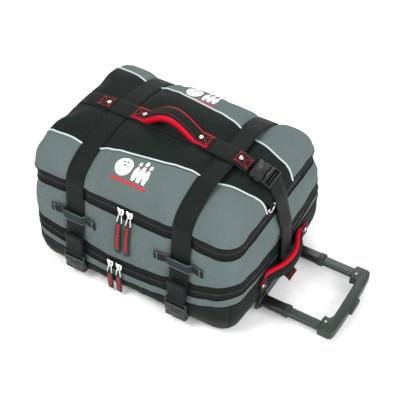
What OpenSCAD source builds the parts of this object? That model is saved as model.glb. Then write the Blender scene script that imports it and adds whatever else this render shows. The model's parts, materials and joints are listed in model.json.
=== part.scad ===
// Wheeled two-compartment soft bag with a telescopic handle, lying on its back.
// Origin: centre of the ground face. X towards the telescopic handle, Y away from the zip pulls, Z up.

/* [Bag] */
// Length of the base over its end walls
bag_l = 560; // [540:5:600]
// Width of the base
bag_w = 456; // [440:2:480]
// Width of the middle section
mid_w = 420; // [410:2:426]
// Width at the upper zip and of the lid
top_w = 412; // [400:2:412]
// Length of the middle section
mid_l = 552; // [540:2:556]
// Length of the lid
lid_l = 548; // [530:2:548]
// Shift of the lid towards the wheels
lid_shift = 10; // [6:1:12]
// Corner radius of the walls in plan
corner_r = 45; // [35:1:55]
// Thickness of the padded walls
wall = 4; // [3:0.5:5]
// Radius of the bottom corner at the wheel end
heel_r = 60; // [50:1:64]

/* [Heights] */
// Height of the base floor above the ground
floor_z = 12; // [10:1:14]
// Height of the lower zip at its lowest point
lower_zip_z = 97; // [94:1:100]
// Radius of the lower zip's arc, seen from the side
zip_arc_r = 760; // [720:10:900]
// Place of the arc's lowest point
zip_low_x = -40; // [-50:5:-20]
// Height of the upper zip
upper_zip_z = 270; // [262:1:276]
// Height of the lid's shoulder
shoulder_z = 304; // [300:1:308]
// Height of the lid's crown
crown_z = 366; // [360:1:376]

/* [Straps] */
// Width of the webbing
web_w = 50; // [38:1:50]
// Thickness of the webbing
web_t = 2; // [1.5:0.5:2]
// Place of the strap nearer the wheels
strap_a_x = -157; // [-165:1:-150]
// Place of the strap nearer the telescopic handle
strap_b_x = 134; // [128:1:140]

/* [Wheels] */
// Radius of the wheels
wheel_r = 35; // [33:1:36]
// Width of the wheels
wheel_w = 24; // [20:1:26]
// Radius of the axle pins
axle_r = 4; // [3:0.5:5]

/* [Telescopic handle] */
// Distance from the middle to each pole
pole_y = 94; // [90:1:98]
// Height of the poles' middle line
pole_z = 32; // [31:1:34]
// Width of the outer tubes
tube_w = 40; // [40:1:42]
// Height of the outer tubes
tube_h = 26; // [26:1:28]
// Wall of every tube
tube_t = 2; // [2:0.1:2.2]
// How far the first stage stands out
stage_1_out = 77; // [60:1:90]
// How far the second stage stands out of the first
stage_2_out = 80; // [60:1:90]
// Width of the hand grip
grip_w = 224; // [218:2:240]

/* [Hidden] */
$fn = 64;

black = [0.13, 0.16, 0.15];
grey = [0.46, 0.52, 0.52];
webbing = [0.12, 0.14, 0.13];
red = [0.76, 0.06, 0.17];
silver = [0.86, 0.86, 0.82];
plastic = [0.16, 0.18, 0.17];
pale = [0.80, 0.82, 0.80];
gap = 0.5;
far = 1000;

// ---- shared shapes -------------------------------------------------------------------------------

// Rectangle with round corners
module round_rect(l, w, r) {
    square([l - 2 * r, w], center = true);
    square([l, w - 2 * r], center = true);
    for (sx = [-1, 1]) for (sy = [-1, 1])
        translate([sx * (l / 2 - r), sy * (w / 2 - r)]) circle(r);
}

// Upright prism with round corners
module prism(l, w, r, z0, z1) {
    translate([0, 0, z0]) linear_extrude(z1 - z0) round_rect(l, w, r);
}

// Upright wall of thickness t
module ring(l, w, r, t, z0, z1) {
    difference() {
        prism(l, w, r, z0, z1);
        prism(l - 2 * t, w - 2 * t, r - t, z0 - 1, z1 + 1);
    }
}

// Box between two corners
module box(a, b) {
    translate(a) cube(b - a);
}

// Side outline of the base, with the round heel at the wheel end, drawn in by d
module side_outline(d) {
    r = heel_r - d;
    x0 = -bag_l / 2 + d;
    z0 = floor_z + d;
    translate([x0 + r, z0]) square([bag_l, far]);
    translate([x0, z0 + r]) square([bag_l, far]);
    translate([x0 + r, z0 + r]) circle(r);
}

// Everything inside the base's side outline
module inside_base(d) {
    rotate([90, 0, 0]) linear_extrude(2 * far, center = true) side_outline(d);
}

// Radius of an arc over a chord with the given rise
function arc_r(half, rise) = (half * half + rise * rise) / (2 * rise);
lid_x = -lid_shift;
end_rise = 60;
crown_gap = 6;
dome_ry = arc_r(top_w / 2, crown_z - shoulder_z);
dome_x = -70;
dome_rx = arc_r(lid_x + lid_l / 2 - dome_x, end_rise);

// Height of the lid's middle line at x
function dome_z(x) =
    min(crown_z, crown_z + crown_gap - dome_rx + sqrt(dome_rx * dome_rx - (x - dome_x) * (x - dome_x)));

// The lid's domed outline, grown by d, above z0
module dome(d, z0) {
    intersection() {
        translate([lid_x, 0, 0]) prism(lid_l + 2 * d, top_w + 2 * d, corner_r + d, z0, far);
        translate([0, 0, crown_z - dome_ry]) rotate([0, 90, 0])
            cylinder(r = dome_ry + d, h = 2 * far, center = true, $fn = 180);
        translate([dome_x, 0, crown_z + crown_gap - dome_rx]) rotate([90, 0, 0])
            cylinder(r = dome_rx + d, h = 2 * far, center = true, $fn = 240);
    }
}

// A skin that lies d above the lid and is t thick
module dome_skin(d, t, z0) {
    difference() {
        dome(d + t, z0);
        dome(d, z0 - 1);
    }
}

// Tube section: a rectangle with half-round sides
module oval(w, h) {
    square([w - h, h], center = true);
    for (s = [-1, 1]) translate([s * (w - h) / 2, 0]) circle(h / 2);
}

// Two hollow poles between two places along X
module poles(w, h, t, x0, x1) {
    for (s = [-1, 1]) translate([x0, s * pole_y, pole_z]) rotate([90, 0, 90])
        linear_extrude(x1 - x0) difference() {
            oval(w, h);
            oval(w - 2 * t, h - 2 * t);
        }
}

// Inside of the lower zip's arc, drawn in by d
module above_arc(d) {
    translate([zip_low_x, 0, lower_zip_z + zip_arc_r]) rotate([90, 0, 0])
        cylinder(r = zip_arc_r - d, h = far, center = true, $fn = 240);
}

// Height of the lower zip at x
function zip_z(x) = lower_zip_z + zip_arc_r - sqrt(zip_arc_r * zip_arc_r - (x - zip_low_x) * (x - zip_low_x));

// Layer between two distances from the lower zip's arc, the upper one first
module arc_layer(upper, lower) {
    intersection() {
        children();
        difference() {
            above_arc(lower);
            above_arc(upper);
        }
    }
}

// ---- base ----------------------------------------------------------------------------------------

wheel_x = -247;
wheel_y = 195;
well_gap = 4;
well_x1 = wheel_x + wheel_r + well_gap;
well_z1 = wheel_r + wheel_r + well_gap;
well_w = wheel_w + 2 * well_gap;
housing_t = 3;

// Space taken out of the base for one wheel housing
module well(s, t) {
    translate([0, s * wheel_y, 0])
        box([-far, -well_w / 2 - t, -1], [well_x1 + t, well_w / 2 + t, well_z1 + t]);
}

module pole_holes(grow) {
    for (s = [-1, 1]) translate([bag_l / 2 - 20, s * pole_y, pole_z]) rotate([90, 0, 90])
        linear_extrude(60) oval(tube_w + grow, tube_h + grow);
}

band_drop = 40;
tape_h = 12;
tub_max_z = 200;
module base_tub() color(black) difference() {
    intersection() {
        prism(bag_l, bag_w, corner_r, floor_z, tub_max_z);
        inside_base(0);
    }
    above_arc(-band_drop);
    intersection() {
        prism(bag_l - 2 * wall, bag_w - 2 * wall, corner_r - wall, floor_z + wall, far);
        inside_base(wall);
    }
    for (s = [-1, 1]) well(s, housing_t);
    pole_holes(6);
}

rail_y = 120;
rail_w = 24;
module skid_rails() color(plastic) for (s = [-1, 0, 1])
    translate([0, s * rail_y, 0]) difference() {
        box([-190, -rail_w / 2, 0], [262, rail_w / 2, floor_z]);
        for (e = [[-190, 45], [262, 45]]) translate([e[0], 0, 0]) rotate([0, e[1], 0])
            cube([8, 2 * rail_w, 8], center = true);
    }

module wheel_housings() color(plastic) for (s = [-1, 1]) difference() {
    intersection() {
        well(s, housing_t);
        inside_base(0);
        prism(bag_l, bag_w, corner_r, floor_z, far);
    }
    well(s, 0);
    translate([wheel_x, s * wheel_y, wheel_r]) rotate([90, 0, 0])
        cylinder(r = axle_r, h = well_w + 4 * housing_t, center = true);
}

module wheel_axles() color(silver) for (s = [-1, 1])
    translate([wheel_x, s * wheel_y, wheel_r]) rotate([90, 0, 0])
        cylinder(r = axle_r, h = well_w + 2 * housing_t, center = true);

tube_x0 = -205;
tube_x1 = bag_l / 2 - 2;
module trolley_outer_tubes() color(silver) poles(tube_w, tube_h, tube_t, tube_x0, tube_x1);

bezel_x1 = bag_l / 2 + 5;
bezel_margin = 10;
module trolley_bezel() color(plastic) difference() {
    union() {
        for (s = [-1, 1]) translate([bag_l / 2, s * pole_y, pole_z]) rotate([90, 0, 90])
            linear_extrude(bezel_x1 - bag_l / 2) oval(tube_w + 2 * bezel_margin, tube_h + bezel_margin);
        box([bag_l / 2, -pole_y, pole_z - 14], [bezel_x1, pole_y, pole_z + 14]);
    }
    for (s = [-1, 1]) translate([bag_l / 2 - 1, s * pole_y, pole_z]) rotate([90, 0, 90])
        linear_extrude(20) oval(tube_w - 2 * tube_t, tube_h - 2 * tube_t);
}

// Cross piece that joins the inner ends of the outer tubes
module trolley_bracket() color(plastic) difference() {
    box([tube_x0 + 1, -pole_y - 28, floor_z + wall], [tube_x0 + 41, pole_y + 28, pole_z + tube_h / 2 + 4]);
    for (s = [-1, 1]) translate([tube_x0 - 1, s * pole_y, pole_z]) rotate([90, 0, 90])
        linear_extrude(60) oval(tube_w, tube_h);
}

board_z = 50;
module base_board() color(black) difference() {
    prism(bag_l - 2 * wall - 2, bag_w - 2 * wall - 2, corner_r - wall - 1, board_z, board_z + 3);
    for (s = [-1, 1]) well(s, housing_t + 1);
    box([-far, -far, 0], [-bag_l / 2 + 22, far, far]);
}

module lower_band() color(grey)
    arc_layer(-tape_h, -band_drop) ring(bag_l, bag_w - 4, corner_r, wall, floor_z, tub_max_z);

module lower_zip_bottom_tape() color(black)
    arc_layer(-gap, -tape_h) ring(bag_l - 4, bag_w - 12, corner_r, 3, floor_z, tub_max_z);

// ---- buckles -------------------------------------------------------------------------------------

buckle_w = 60;
buckle_t = 13;
buckle_y = -bag_w / 2 - 3 - buckle_t / 2;
socket_z0 = 26;
socket_z1 = 58;
plug_z1 = 84;
prong_w = 9;

// Socket half of a side-release buckle, opening upwards
module socket() {
    difference() {
        box([-buckle_w / 2, -buckle_t / 2, 0], [buckle_w / 2, buckle_t / 2, socket_z1 - socket_z0]);
        box([-buckle_w / 2 + 4, -buckle_t / 2 + 2.5, 8], [buckle_w / 2 - 4, buckle_t / 2 - 2.5, 99]);
        for (s = [-1, 1]) translate([s * buckle_w / 2, 0, 20]) cube([14, 6, 12], center = true);
    }
}

// Plug half: a webbing frame with a guide tongue and two prongs
module plug() {
    body_z = plug_z1 - socket_z1 - 1;
    difference() {
        box([-buckle_w / 2, -buckle_t / 2, 0], [buckle_w / 2, buckle_t / 2, body_z]);
        box([-web_w / 2 - 1, -99, 9], [web_w / 2 + 1, 99, body_z - 5]);
    }
    box([-web_w / 2 - 1, -2, 12.5], [web_w / 2 + 1, 2, 16.5]);
    for (x = [-20, 0, 20]) box([x - prong_w / 2, -3, -20], [x + prong_w / 2, 3, 0]);
}

module buckle_sockets() color(plastic) for (x = [strap_a_x, strap_b_x])
    translate([x, buckle_y, socket_z0]) socket();

// Webbing that ties each socket to the tub
module buckle_anchors() color(webbing) for (x = [strap_a_x, strap_b_x])
    box([x - web_w / 2, -bag_w / 2 - web_t, floor_z + 1], [x + web_w / 2, -bag_w / 2, socket_z1 + 2]);

module far_straps_base() color(webbing) for (x = [strap_a_x, strap_b_x])
    box([x - web_w / 2, bag_w / 2, floor_z + 1], [x + web_w / 2, bag_w / 2 + web_t, hinge_low_z - 14]);

// ---- handle end ----------------------------------------------------------------------------------

end_x = bag_l / 2;
end_handle_z = 98;
end_handle_y = 103;
patch = 38;
module end_patches() color(black) for (s = [-1, 1])
    box([end_x, s * end_handle_y - patch / 2, end_handle_z - patch / 2],
        [end_x + 3, s * end_handle_y + patch / 2, end_handle_z + patch / 2 - 8]);

module end_rivets() color(silver) for (s = [-1, 1])
    translate([end_x + 3, s * (end_handle_y + 10), end_handle_z - 5]) rotate([0, 90, 0])
        cylinder(r = 5, h = 2);

tip_turn = [274, 240];
end_strap_x = end_x + 6;
// Webbing strip along points in the XZ plane
module side_strip(points) {
    rotate([90, 0, 0]) linear_extrude(web_w, center = true) polygon(points);
}

module end_strap() color(webbing) side_strip([[end_strap_x, 54], [end_strap_x + web_t, 54],
    [end_strap_x + web_t, 150], [tip_turn[0] + web_t, tip_turn[1] - 2], [tip_turn[0], tip_turn[1] - 2],
    [end_strap_x, 150]]);

// Arched handle that stands h off a wall over a chord of 2 * half; its ends are narrow stems
module arched_handle(half, h, w, t, stem) {
    r = arc_r(half, h);
    lift = stem + 1;
    intersection() {
        rotate([90, 0, 0]) linear_extrude(w, center = true) translate([0, h - r]) difference() {
            circle(r, $fn = 120);
            circle(r - t, $fn = 120);
        }
        union() {
            box([-far, -far, lift], [far, far, far]);
            box([-far, -4, 2], [far, 4, far]);
        }
    }
}

end_handle_h = 40;
module end_handle() color(red) translate([end_x + 4, 0, end_handle_z]) rotate([0, 90, 0]) rotate([0, 0, 90])
    arched_handle(end_handle_y - 26, end_handle_h, 30, 8, 14);

// ---- upper section -------------------------------------------------------------------------------

mid_x = -5;
hinge_low_y = mid_w / 2 + 14;
hinge_low_z = 118;
hinge_top_y = top_w / 2 + 4;

module at_mid() {
    translate([mid_x, 0, 0]) children();
}

module at_lid() {
    translate([lid_x, 0, 0]) children();
}

module lower_zip_top_tape() color(black)
    arc_layer(tape_h, gap) at_mid() ring(mid_l + 4, mid_w + 8, corner_r, 3, floor_z, tub_max_z);

// Round seam cord along the far lower zip, the line that the upper section folds on
cord_r = 2.5;
lower_seam_l = 300;
module lower_seam_cord() color(black) translate([zip_low_x, hinge_low_y, hinge_low_z])
    rotate([0, 90, 0]) cylinder(r = cord_r, h = lower_seam_l, center = true);

module mid_band() color(grey) intersection() {
    at_mid() ring(mid_l, mid_w, corner_r, wall, floor_z, upper_zip_z - 18);
    above_arc(tape_h);
}

panel_drop = 14;
panel_t = 3;
module divider_panel() color(black) arc_layer(panel_drop + panel_t, panel_drop)
    at_mid() prism(mid_l - 2 * wall - 1, mid_w - 2 * wall - 1, corner_r - wall, floor_z, tub_max_z);

// Foam block with two dishes for the balls
ball_r = 109;
ball_x = 112;
cradle_top_z = 158;
ball_z = lower_zip_z + panel_drop + panel_t + 10 + ball_r;
module ball_cradle() color(plastic) difference() {
    intersection() {
        translate([zip_low_x, 0, 0]) prism(400, 300, 30, floor_z, cradle_top_z);
        above_arc(panel_drop + panel_t);
    }
    for (s = [-1, 1]) translate([zip_low_x + s * ball_x, 0, ball_z]) sphere(r = ball_r, $fn = 96);
}

module upper_zip_bottom_tape() color(black)
    at_lid() ring(lid_l, top_w, corner_r, 3, upper_zip_z - 18, upper_zip_z - gap);

upper_seam_l = 440;
module upper_seam_cord() color(black) translate([lid_x, hinge_top_y, upper_zip_z])
    rotate([0, 90, 0]) cylinder(r = cord_r, h = upper_seam_l, center = true);

keeper_z0 = 184;
keeper_z1 = 214;
keeper_half = 64;
keeper_in = 33;
keeper_out = -mid_w / 2 - 18;
module strap_keepers() color(webbing) for (x = [strap_a_x, strap_b_x])
    translate([x, 0, keeper_z0]) linear_extrude(keeper_z1 - keeper_z0) difference() {
        polygon([[-keeper_half, -mid_w / 2], [-keeper_half, -mid_w / 2 - 3], [-keeper_in - 3, -mid_w / 2 - 3],
            [-keeper_in + 1, keeper_out], [keeper_in - 1, keeper_out], [keeper_in + 3, -mid_w / 2 - 3],
            [keeper_half, -mid_w / 2 - 3], [keeper_half, -mid_w / 2]]);
        polygon([[-keeper_in, -mid_w / 2 + 1], [-keeper_in + 4, keeper_out + web_t],
            [keeper_in - 4, keeper_out + web_t], [keeper_in, -mid_w / 2 + 1]]);
    }

module far_straps_mid() color(webbing) for (x = [strap_a_x, strap_b_x])
    box([x - web_w / 2, mid_w / 2, hinge_low_z + 18],
        [x + web_w / 2, mid_w / 2 + web_t, upper_zip_z - 8]);

// ---- lid -----------------------------------------------------------------------------------------

gusset_z0 = upper_zip_z + 18;
module upper_zip_top_tape() color(black)
    at_lid() ring(lid_l, top_w, corner_r, 3, upper_zip_z + gap, gusset_z0);

module lid_gusset() color(grey)
    at_lid() ring(lid_l, top_w, corner_r, wall, gusset_z0, shoulder_z);

panel_wheel_y = 142;
panel_end_y = 62;
// Outline in plan of the black middle panel, grown by d on each side
module centre_outline(d) {
    polygon([[lid_x - lid_l / 2 - 20, -panel_wheel_y - d], [lid_x + lid_l / 2 + 20, -panel_end_y - d],
        [lid_x + lid_l / 2 + 20, panel_end_y + d], [lid_x - lid_l / 2 - 20, panel_wheel_y + d]]);
}

module side_panel(s) intersection() {
    dome_skin(-wall, wall, shoulder_z);
    difference() {
        box([-far, s > 0 ? 0 : -far, 0], [far, s > 0 ? far : 0, far]);
        translate([0, 0, -1]) linear_extrude(2 * far) centre_outline(0);
    }
}

module lid_panel_near() color(grey) side_panel(-1);

module lid_panel_far() color(grey) side_panel(1);

module lid_panel_centre() color(black) intersection() {
    dome_skin(-wall, wall, shoulder_z);
    linear_extrude(far) centre_outline(0);
}

module lid_piping() color(pale) intersection() {
    dome_skin(0, 1.2, shoulder_z + 1);
    difference() {
        linear_extrude(far) centre_outline(3);
        translate([0, 0, -1]) linear_extrude(2 * far) centre_outline(0);
    }
}

strap_drop_z = upper_zip_z - 24;
// Skin that lies on the lid and hangs down to the strap's turning line on the near side only
module cross_strap(x) intersection() {
    dome_skin(4.5, web_t, strap_drop_z + 1);
    union() {
        box([x - web_w / 2, -far, 0], [x + web_w / 2, 0, far]);
        box([x - web_w / 2, 0, upper_zip_z + 10], [x + web_w / 2, far, far]);
    }
}

module cross_straps() color(webbing) for (x = [strap_a_x, strap_b_x]) cross_strap(x);

socket_x = 190;
module long_strap() color(webbing) intersection() {
    dome_skin(8, web_t, gusset_z0);
    box([-far, -web_w / 2, 0], [socket_x, web_w / 2, far]);
}

patch_x = [-204, -104, 65, 169];
module handle_patches() color(black) intersection() {
    dome_skin(10, 2, shoulder_z);
    for (x = patch_x) box([x - patch / 2, -20, 0], [x + patch / 2, 20, far]);
}

module handle_rivets() color(silver) intersection() {
    dome_skin(12, 2, shoulder_z);
    for (x = patch_x) translate([x, 0, shoulder_z]) cylinder(r = 5, h = far);
}

// Place on the lid's middle line at x, d above it, with X along the slope
module on_lid(x, d) {
    a = asin((x - dome_x) / dome_rx);
    translate([dome_x + (dome_rx + d) * sin(a), 0, crown_z + crown_gap - dome_rx + (dome_rx + d) * cos(a)])
        rotate([0, a, 0]) children();
}

buckle_x = socket_x + 32;
buckle_lift = 9;
socket_l = socket_z1 - socket_z0;
module long_buckle_socket() color(plastic) on_lid(buckle_x, buckle_lift)
    translate([-30, 0, 0]) rotate([90, 0, 90]) socket();

module ring_loop() color(webbing) translate([lid_x + lid_l / 2, -44, 296]) difference() {
    box([0.2, -8, -7], [9, 8, 5]);
    translate([5, 0, 0]) rotate([90, 0, 0]) cylinder(r = 2.3, h = 30, center = true);
}

ring_x = lid_x + lid_l / 2 + 5;
module d_ring() color(silver) translate([ring_x, -44, 296]) {
    rotate([90, 0, 0]) cylinder(r = 2, h = 28, center = true);
    rotate([90, 180, 90]) rotate_extrude(angle = 180, $fn = 64) translate([14, 0]) circle(2, $fn = 24);
}

carry_x = (patch_x[1] + patch_x[2]) / 2;
carry_half = (patch_x[2] - patch_x[1]) / 2 - 14;
carry_z = dome_z(patch_x[1]) + 13;
module carry_handle() color(black) translate([carry_x, 0, carry_z])
    arched_handle(carry_half, 40, 34, 11, 16);

// ---- loose strap ends ----------------------------------------------------------------------------

turn_y = -top_w / 2 - 5.5;
module strap_end(x) {
    translate([x - web_w / 2, 0, 0]) rotate([90, 0, 90]) linear_extrude(web_w)
        polygon([[turn_y - web_t / 2, strap_drop_z - 1], [turn_y + web_t / 2, strap_drop_z - 1],
            [buckle_y + 1 + web_t, 110], [buckle_y + 1 + web_t, 88], [buckle_y + 1, 88], [buckle_y + 1, 110]]);
}

module strap_end_a() color(webbing) strap_end(strap_a_x);

module strap_end_b() color(webbing) strap_end(strap_b_x);

module plug_at(x) translate([x, buckle_y, socket_z1 + 1]) plug();

module buckle_plug_a() color(plastic) plug_at(strap_a_x);

module buckle_plug_b() color(plastic) plug_at(strap_b_x);

// Free tip of the end strap, which ends in the plug of the long strap's buckle
tip_z = dome_z(lid_x + lid_l / 2);
tip_end_x = buckle_x + 33;
module end_strap_tip() color(webbing) side_strip([[tip_turn[0], tip_turn[1]],
    [tip_turn[0] + web_t, tip_turn[1]], [tip_turn[0] + web_t, tip_z + 3], [tip_turn[0] - 5, tip_z + 11],
    [tip_end_x, dome_z(tip_end_x) + 11.5], [tip_end_x, dome_z(tip_end_x) + 9.5],
    [tip_turn[0] - 5, tip_z + 9], [tip_turn[0], tip_z + 1]]);

module long_buckle_plug() color(plastic) on_lid(buckle_x, buckle_lift)
    translate([-30 + socket_l + 1, 0, 0]) rotate([90, 0, 90]) plug();

// ---- zip sliders ---------------------------------------------------------------------------------

slider_w = 14;
slider_t = 7;
upper_slider_y = -top_w / 2 - 0.4;
lower_slider_y = -bag_w / 2 + 1.6;
upper_slider_x = [-27, -3];
lower_slider_x = [-56, -31];

// Slider body with a bridge; the pull hangs on the pin under the bridge
module slider(x, y, z) translate([x, y, z]) {
    difference() {
        box([-slider_w / 2, -slider_t, -11], [slider_w / 2, 0, 9]);
        box([-3.2, -slider_t - 1, -12], [3.2, -slider_t + 4.4, -1]);
    }
    translate([0, -slider_t + 2.2, -7]) rotate([0, 90, 0]) cylinder(r = 1.2, h = slider_w - 2, center = true);
}

// Pull: an eye round the slider's pin and a tab of length l
module pull(x, y, z, l) translate([x, y - slider_t + 2.2, z - 7]) difference() {
    union() {
        rotate([0, 90, 0]) cylinder(r = 2.1, h = 5.6, center = true);
        box([-2.8, -5, -6], [2.8, 0, 0]);
        box([-8, -6.5, -l], [8, -2.6, -5.5]);
    }
    rotate([0, 90, 0]) cylinder(r = 1.3, h = 20, center = true);
}

module upper_slider_a() color(silver) slider(upper_slider_x[0], upper_slider_y, upper_zip_z);

module upper_slider_b() color(silver) slider(upper_slider_x[1], upper_slider_y, upper_zip_z);

module lower_slider_a() color(silver) slider(lower_slider_x[0], lower_slider_y, lower_zip_z);

module lower_slider_b() color(silver) slider(lower_slider_x[1], lower_slider_y, lower_zip_z);

upper_pull_l = 108;
lower_pull_l = 78;
module upper_pull_a() color(red) pull(upper_slider_x[0], upper_slider_y, upper_zip_z, upper_pull_l);

module upper_pull_b() color(red) pull(upper_slider_x[1], upper_slider_y, upper_zip_z, upper_pull_l);

module lower_pull_a() color(red) pull(lower_slider_x[0], lower_slider_y, lower_zip_z, lower_pull_l);

module lower_pull_b() color(red) pull(lower_slider_x[1], lower_slider_y, lower_zip_z, lower_pull_l);

// ---- wheels --------------------------------------------------------------------------------------

bore_gap = 0.08;
module wheel(s) translate([wheel_x, s * wheel_y, wheel_r]) rotate([90, 0, 0]) difference() {
    cylinder(r = wheel_r, h = wheel_w, center = true, $fn = 96);
    cylinder(r = axle_r + bore_gap, h = 2 * wheel_w, center = true);
    for (a = [-1, 1]) translate([0, 0, a * (wheel_w / 2 + 1)]) difference() {
        cylinder(r = wheel_r - 9, h = 8, center = true);
        cylinder(r = axle_r + 6, h = 20, center = true);
    }
}

module wheel_near() color(plastic) wheel(-1);

module wheel_far() color(plastic) wheel(1);

// ---- telescopic handle ---------------------------------------------------------------------------

slide_gap = 1;
stage_1_w = tube_w - 2 * tube_t - 2 * slide_gap;
stage_1_h = tube_h - 2 * tube_t - 2 * slide_gap;
stage_2_w = stage_1_w - 2 * tube_t - 2 * slide_gap;
stage_2_h = stage_1_h - 2 * tube_t - 2 * slide_gap;
stage_1_x1 = end_x + stage_1_out;
stage_2_x1 = stage_1_x1 + stage_2_out;
stage_l = 470;
module stage_1_tubes() color(plastic) poles(stage_1_w, stage_1_h, tube_t, stage_1_x1 - stage_l, stage_1_x1);

module stage_2_tubes() color(silver) poles(stage_2_w, stage_2_h, tube_t, stage_2_x1 - stage_l, stage_2_x1 + 18);

grip_x0 = stage_2_x1;
grip_x1 = grip_x0 + 43;
bar_d = 24;
grip_h = 26;
block_w = 40;
button_w = 46;
button_out = 8;
button_travel = 6;
pocket_d = 16;
// Hand grip: a bar between two blocks, with a socket for each pole and a pocket for the push button
module hand_grip() color(plastic) difference() {
    union() {
        translate([grip_x1 - bar_d / 2, 0, 0])
            prism(bar_d, grip_w, 10, pole_z - grip_h / 2, pole_z + grip_h / 2);
        for (s = [-1, 1]) translate([(grip_x0 + grip_x1) / 2, s * (grip_w - block_w) / 2, 0])
            prism(grip_x1 - grip_x0, block_w, 10, pole_z - grip_h / 2, pole_z + grip_h / 2);
    }
    for (s = [-1, 1]) translate([grip_x0 - 1, s * pole_y, pole_z]) rotate([90, 0, 90])
        linear_extrude(19) oval(stage_2_w, stage_2_h);
    box([grip_x1 - pocket_d, -button_w / 2 - gap, pole_z - 8], [grip_x1 + 1, button_w / 2 + gap, pole_z + 8]);
}

module push_button() color(plastic) box([grip_x1 - pocket_d + button_travel + 1, -button_w / 2, pole_z - 7.5],
    [grip_x1 + button_out, button_w / 2, pole_z + 7.5]);

// ---- drawing -------------------------------------------------------------------------------------

base_tub();
skid_rails();
wheel_housings();
wheel_axles();
trolley_outer_tubes();
trolley_bezel();
trolley_bracket();
base_board();
lower_band();
lower_zip_bottom_tape();
buckle_sockets();
buckle_anchors();
far_straps_base();
end_patches();
end_rivets();
end_strap();
lower_zip_top_tape();
lower_seam_cord();
mid_band();
divider_panel();
ball_cradle();
upper_zip_bottom_tape();
upper_seam_cord();
strap_keepers();
far_straps_mid();
upper_zip_top_tape();
lid_gusset();
lid_panel_near();
lid_panel_centre();
lid_panel_far();
lid_piping();
cross_straps();
long_strap();
handle_patches();
handle_rivets();
long_buckle_socket();
ring_loop();
carry_handle();
d_ring();
strap_end_a();
buckle_plug_a();
strap_end_b();
buckle_plug_b();
end_strap_tip();
long_buckle_plug();
end_handle();
upper_slider_a();
upper_slider_b();
lower_slider_a();
lower_slider_b();
upper_pull_a();
upper_pull_b();
lower_pull_a();
lower_pull_b();
wheel_near();
wheel_far();
stage_1_tubes();
stage_2_tubes();
hand_grip();
push_button();
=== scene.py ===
"""Looks of the wheeled bag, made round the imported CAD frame.

A sagging fabric shell, zips, webbing, handles and hardware. Lengths are in metres.
"""

import json
import math

import bmesh
import bpy
import numpy as np
from mathutils import Matrix, Vector
from mathutils.bvhtree import BVHTree


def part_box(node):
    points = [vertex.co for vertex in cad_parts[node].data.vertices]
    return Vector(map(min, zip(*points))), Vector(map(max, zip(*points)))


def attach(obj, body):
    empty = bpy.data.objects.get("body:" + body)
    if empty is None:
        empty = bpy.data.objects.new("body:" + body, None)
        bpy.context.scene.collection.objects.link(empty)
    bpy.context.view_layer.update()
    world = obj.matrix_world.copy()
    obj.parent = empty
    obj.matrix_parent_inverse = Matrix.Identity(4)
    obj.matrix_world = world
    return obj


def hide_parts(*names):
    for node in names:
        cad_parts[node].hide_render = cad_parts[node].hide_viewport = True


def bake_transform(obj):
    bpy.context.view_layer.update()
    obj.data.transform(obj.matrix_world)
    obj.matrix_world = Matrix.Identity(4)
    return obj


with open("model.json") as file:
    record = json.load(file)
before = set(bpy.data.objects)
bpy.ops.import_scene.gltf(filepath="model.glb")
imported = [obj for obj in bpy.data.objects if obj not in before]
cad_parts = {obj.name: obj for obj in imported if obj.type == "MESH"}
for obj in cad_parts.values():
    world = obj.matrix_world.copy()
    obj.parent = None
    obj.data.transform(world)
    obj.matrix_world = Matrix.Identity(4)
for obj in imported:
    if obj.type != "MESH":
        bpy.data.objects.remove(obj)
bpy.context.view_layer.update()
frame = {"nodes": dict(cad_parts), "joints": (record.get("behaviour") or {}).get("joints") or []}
scene = bpy.context.scene

# ---- materials -----------------------------------------------------------------------------------


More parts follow.
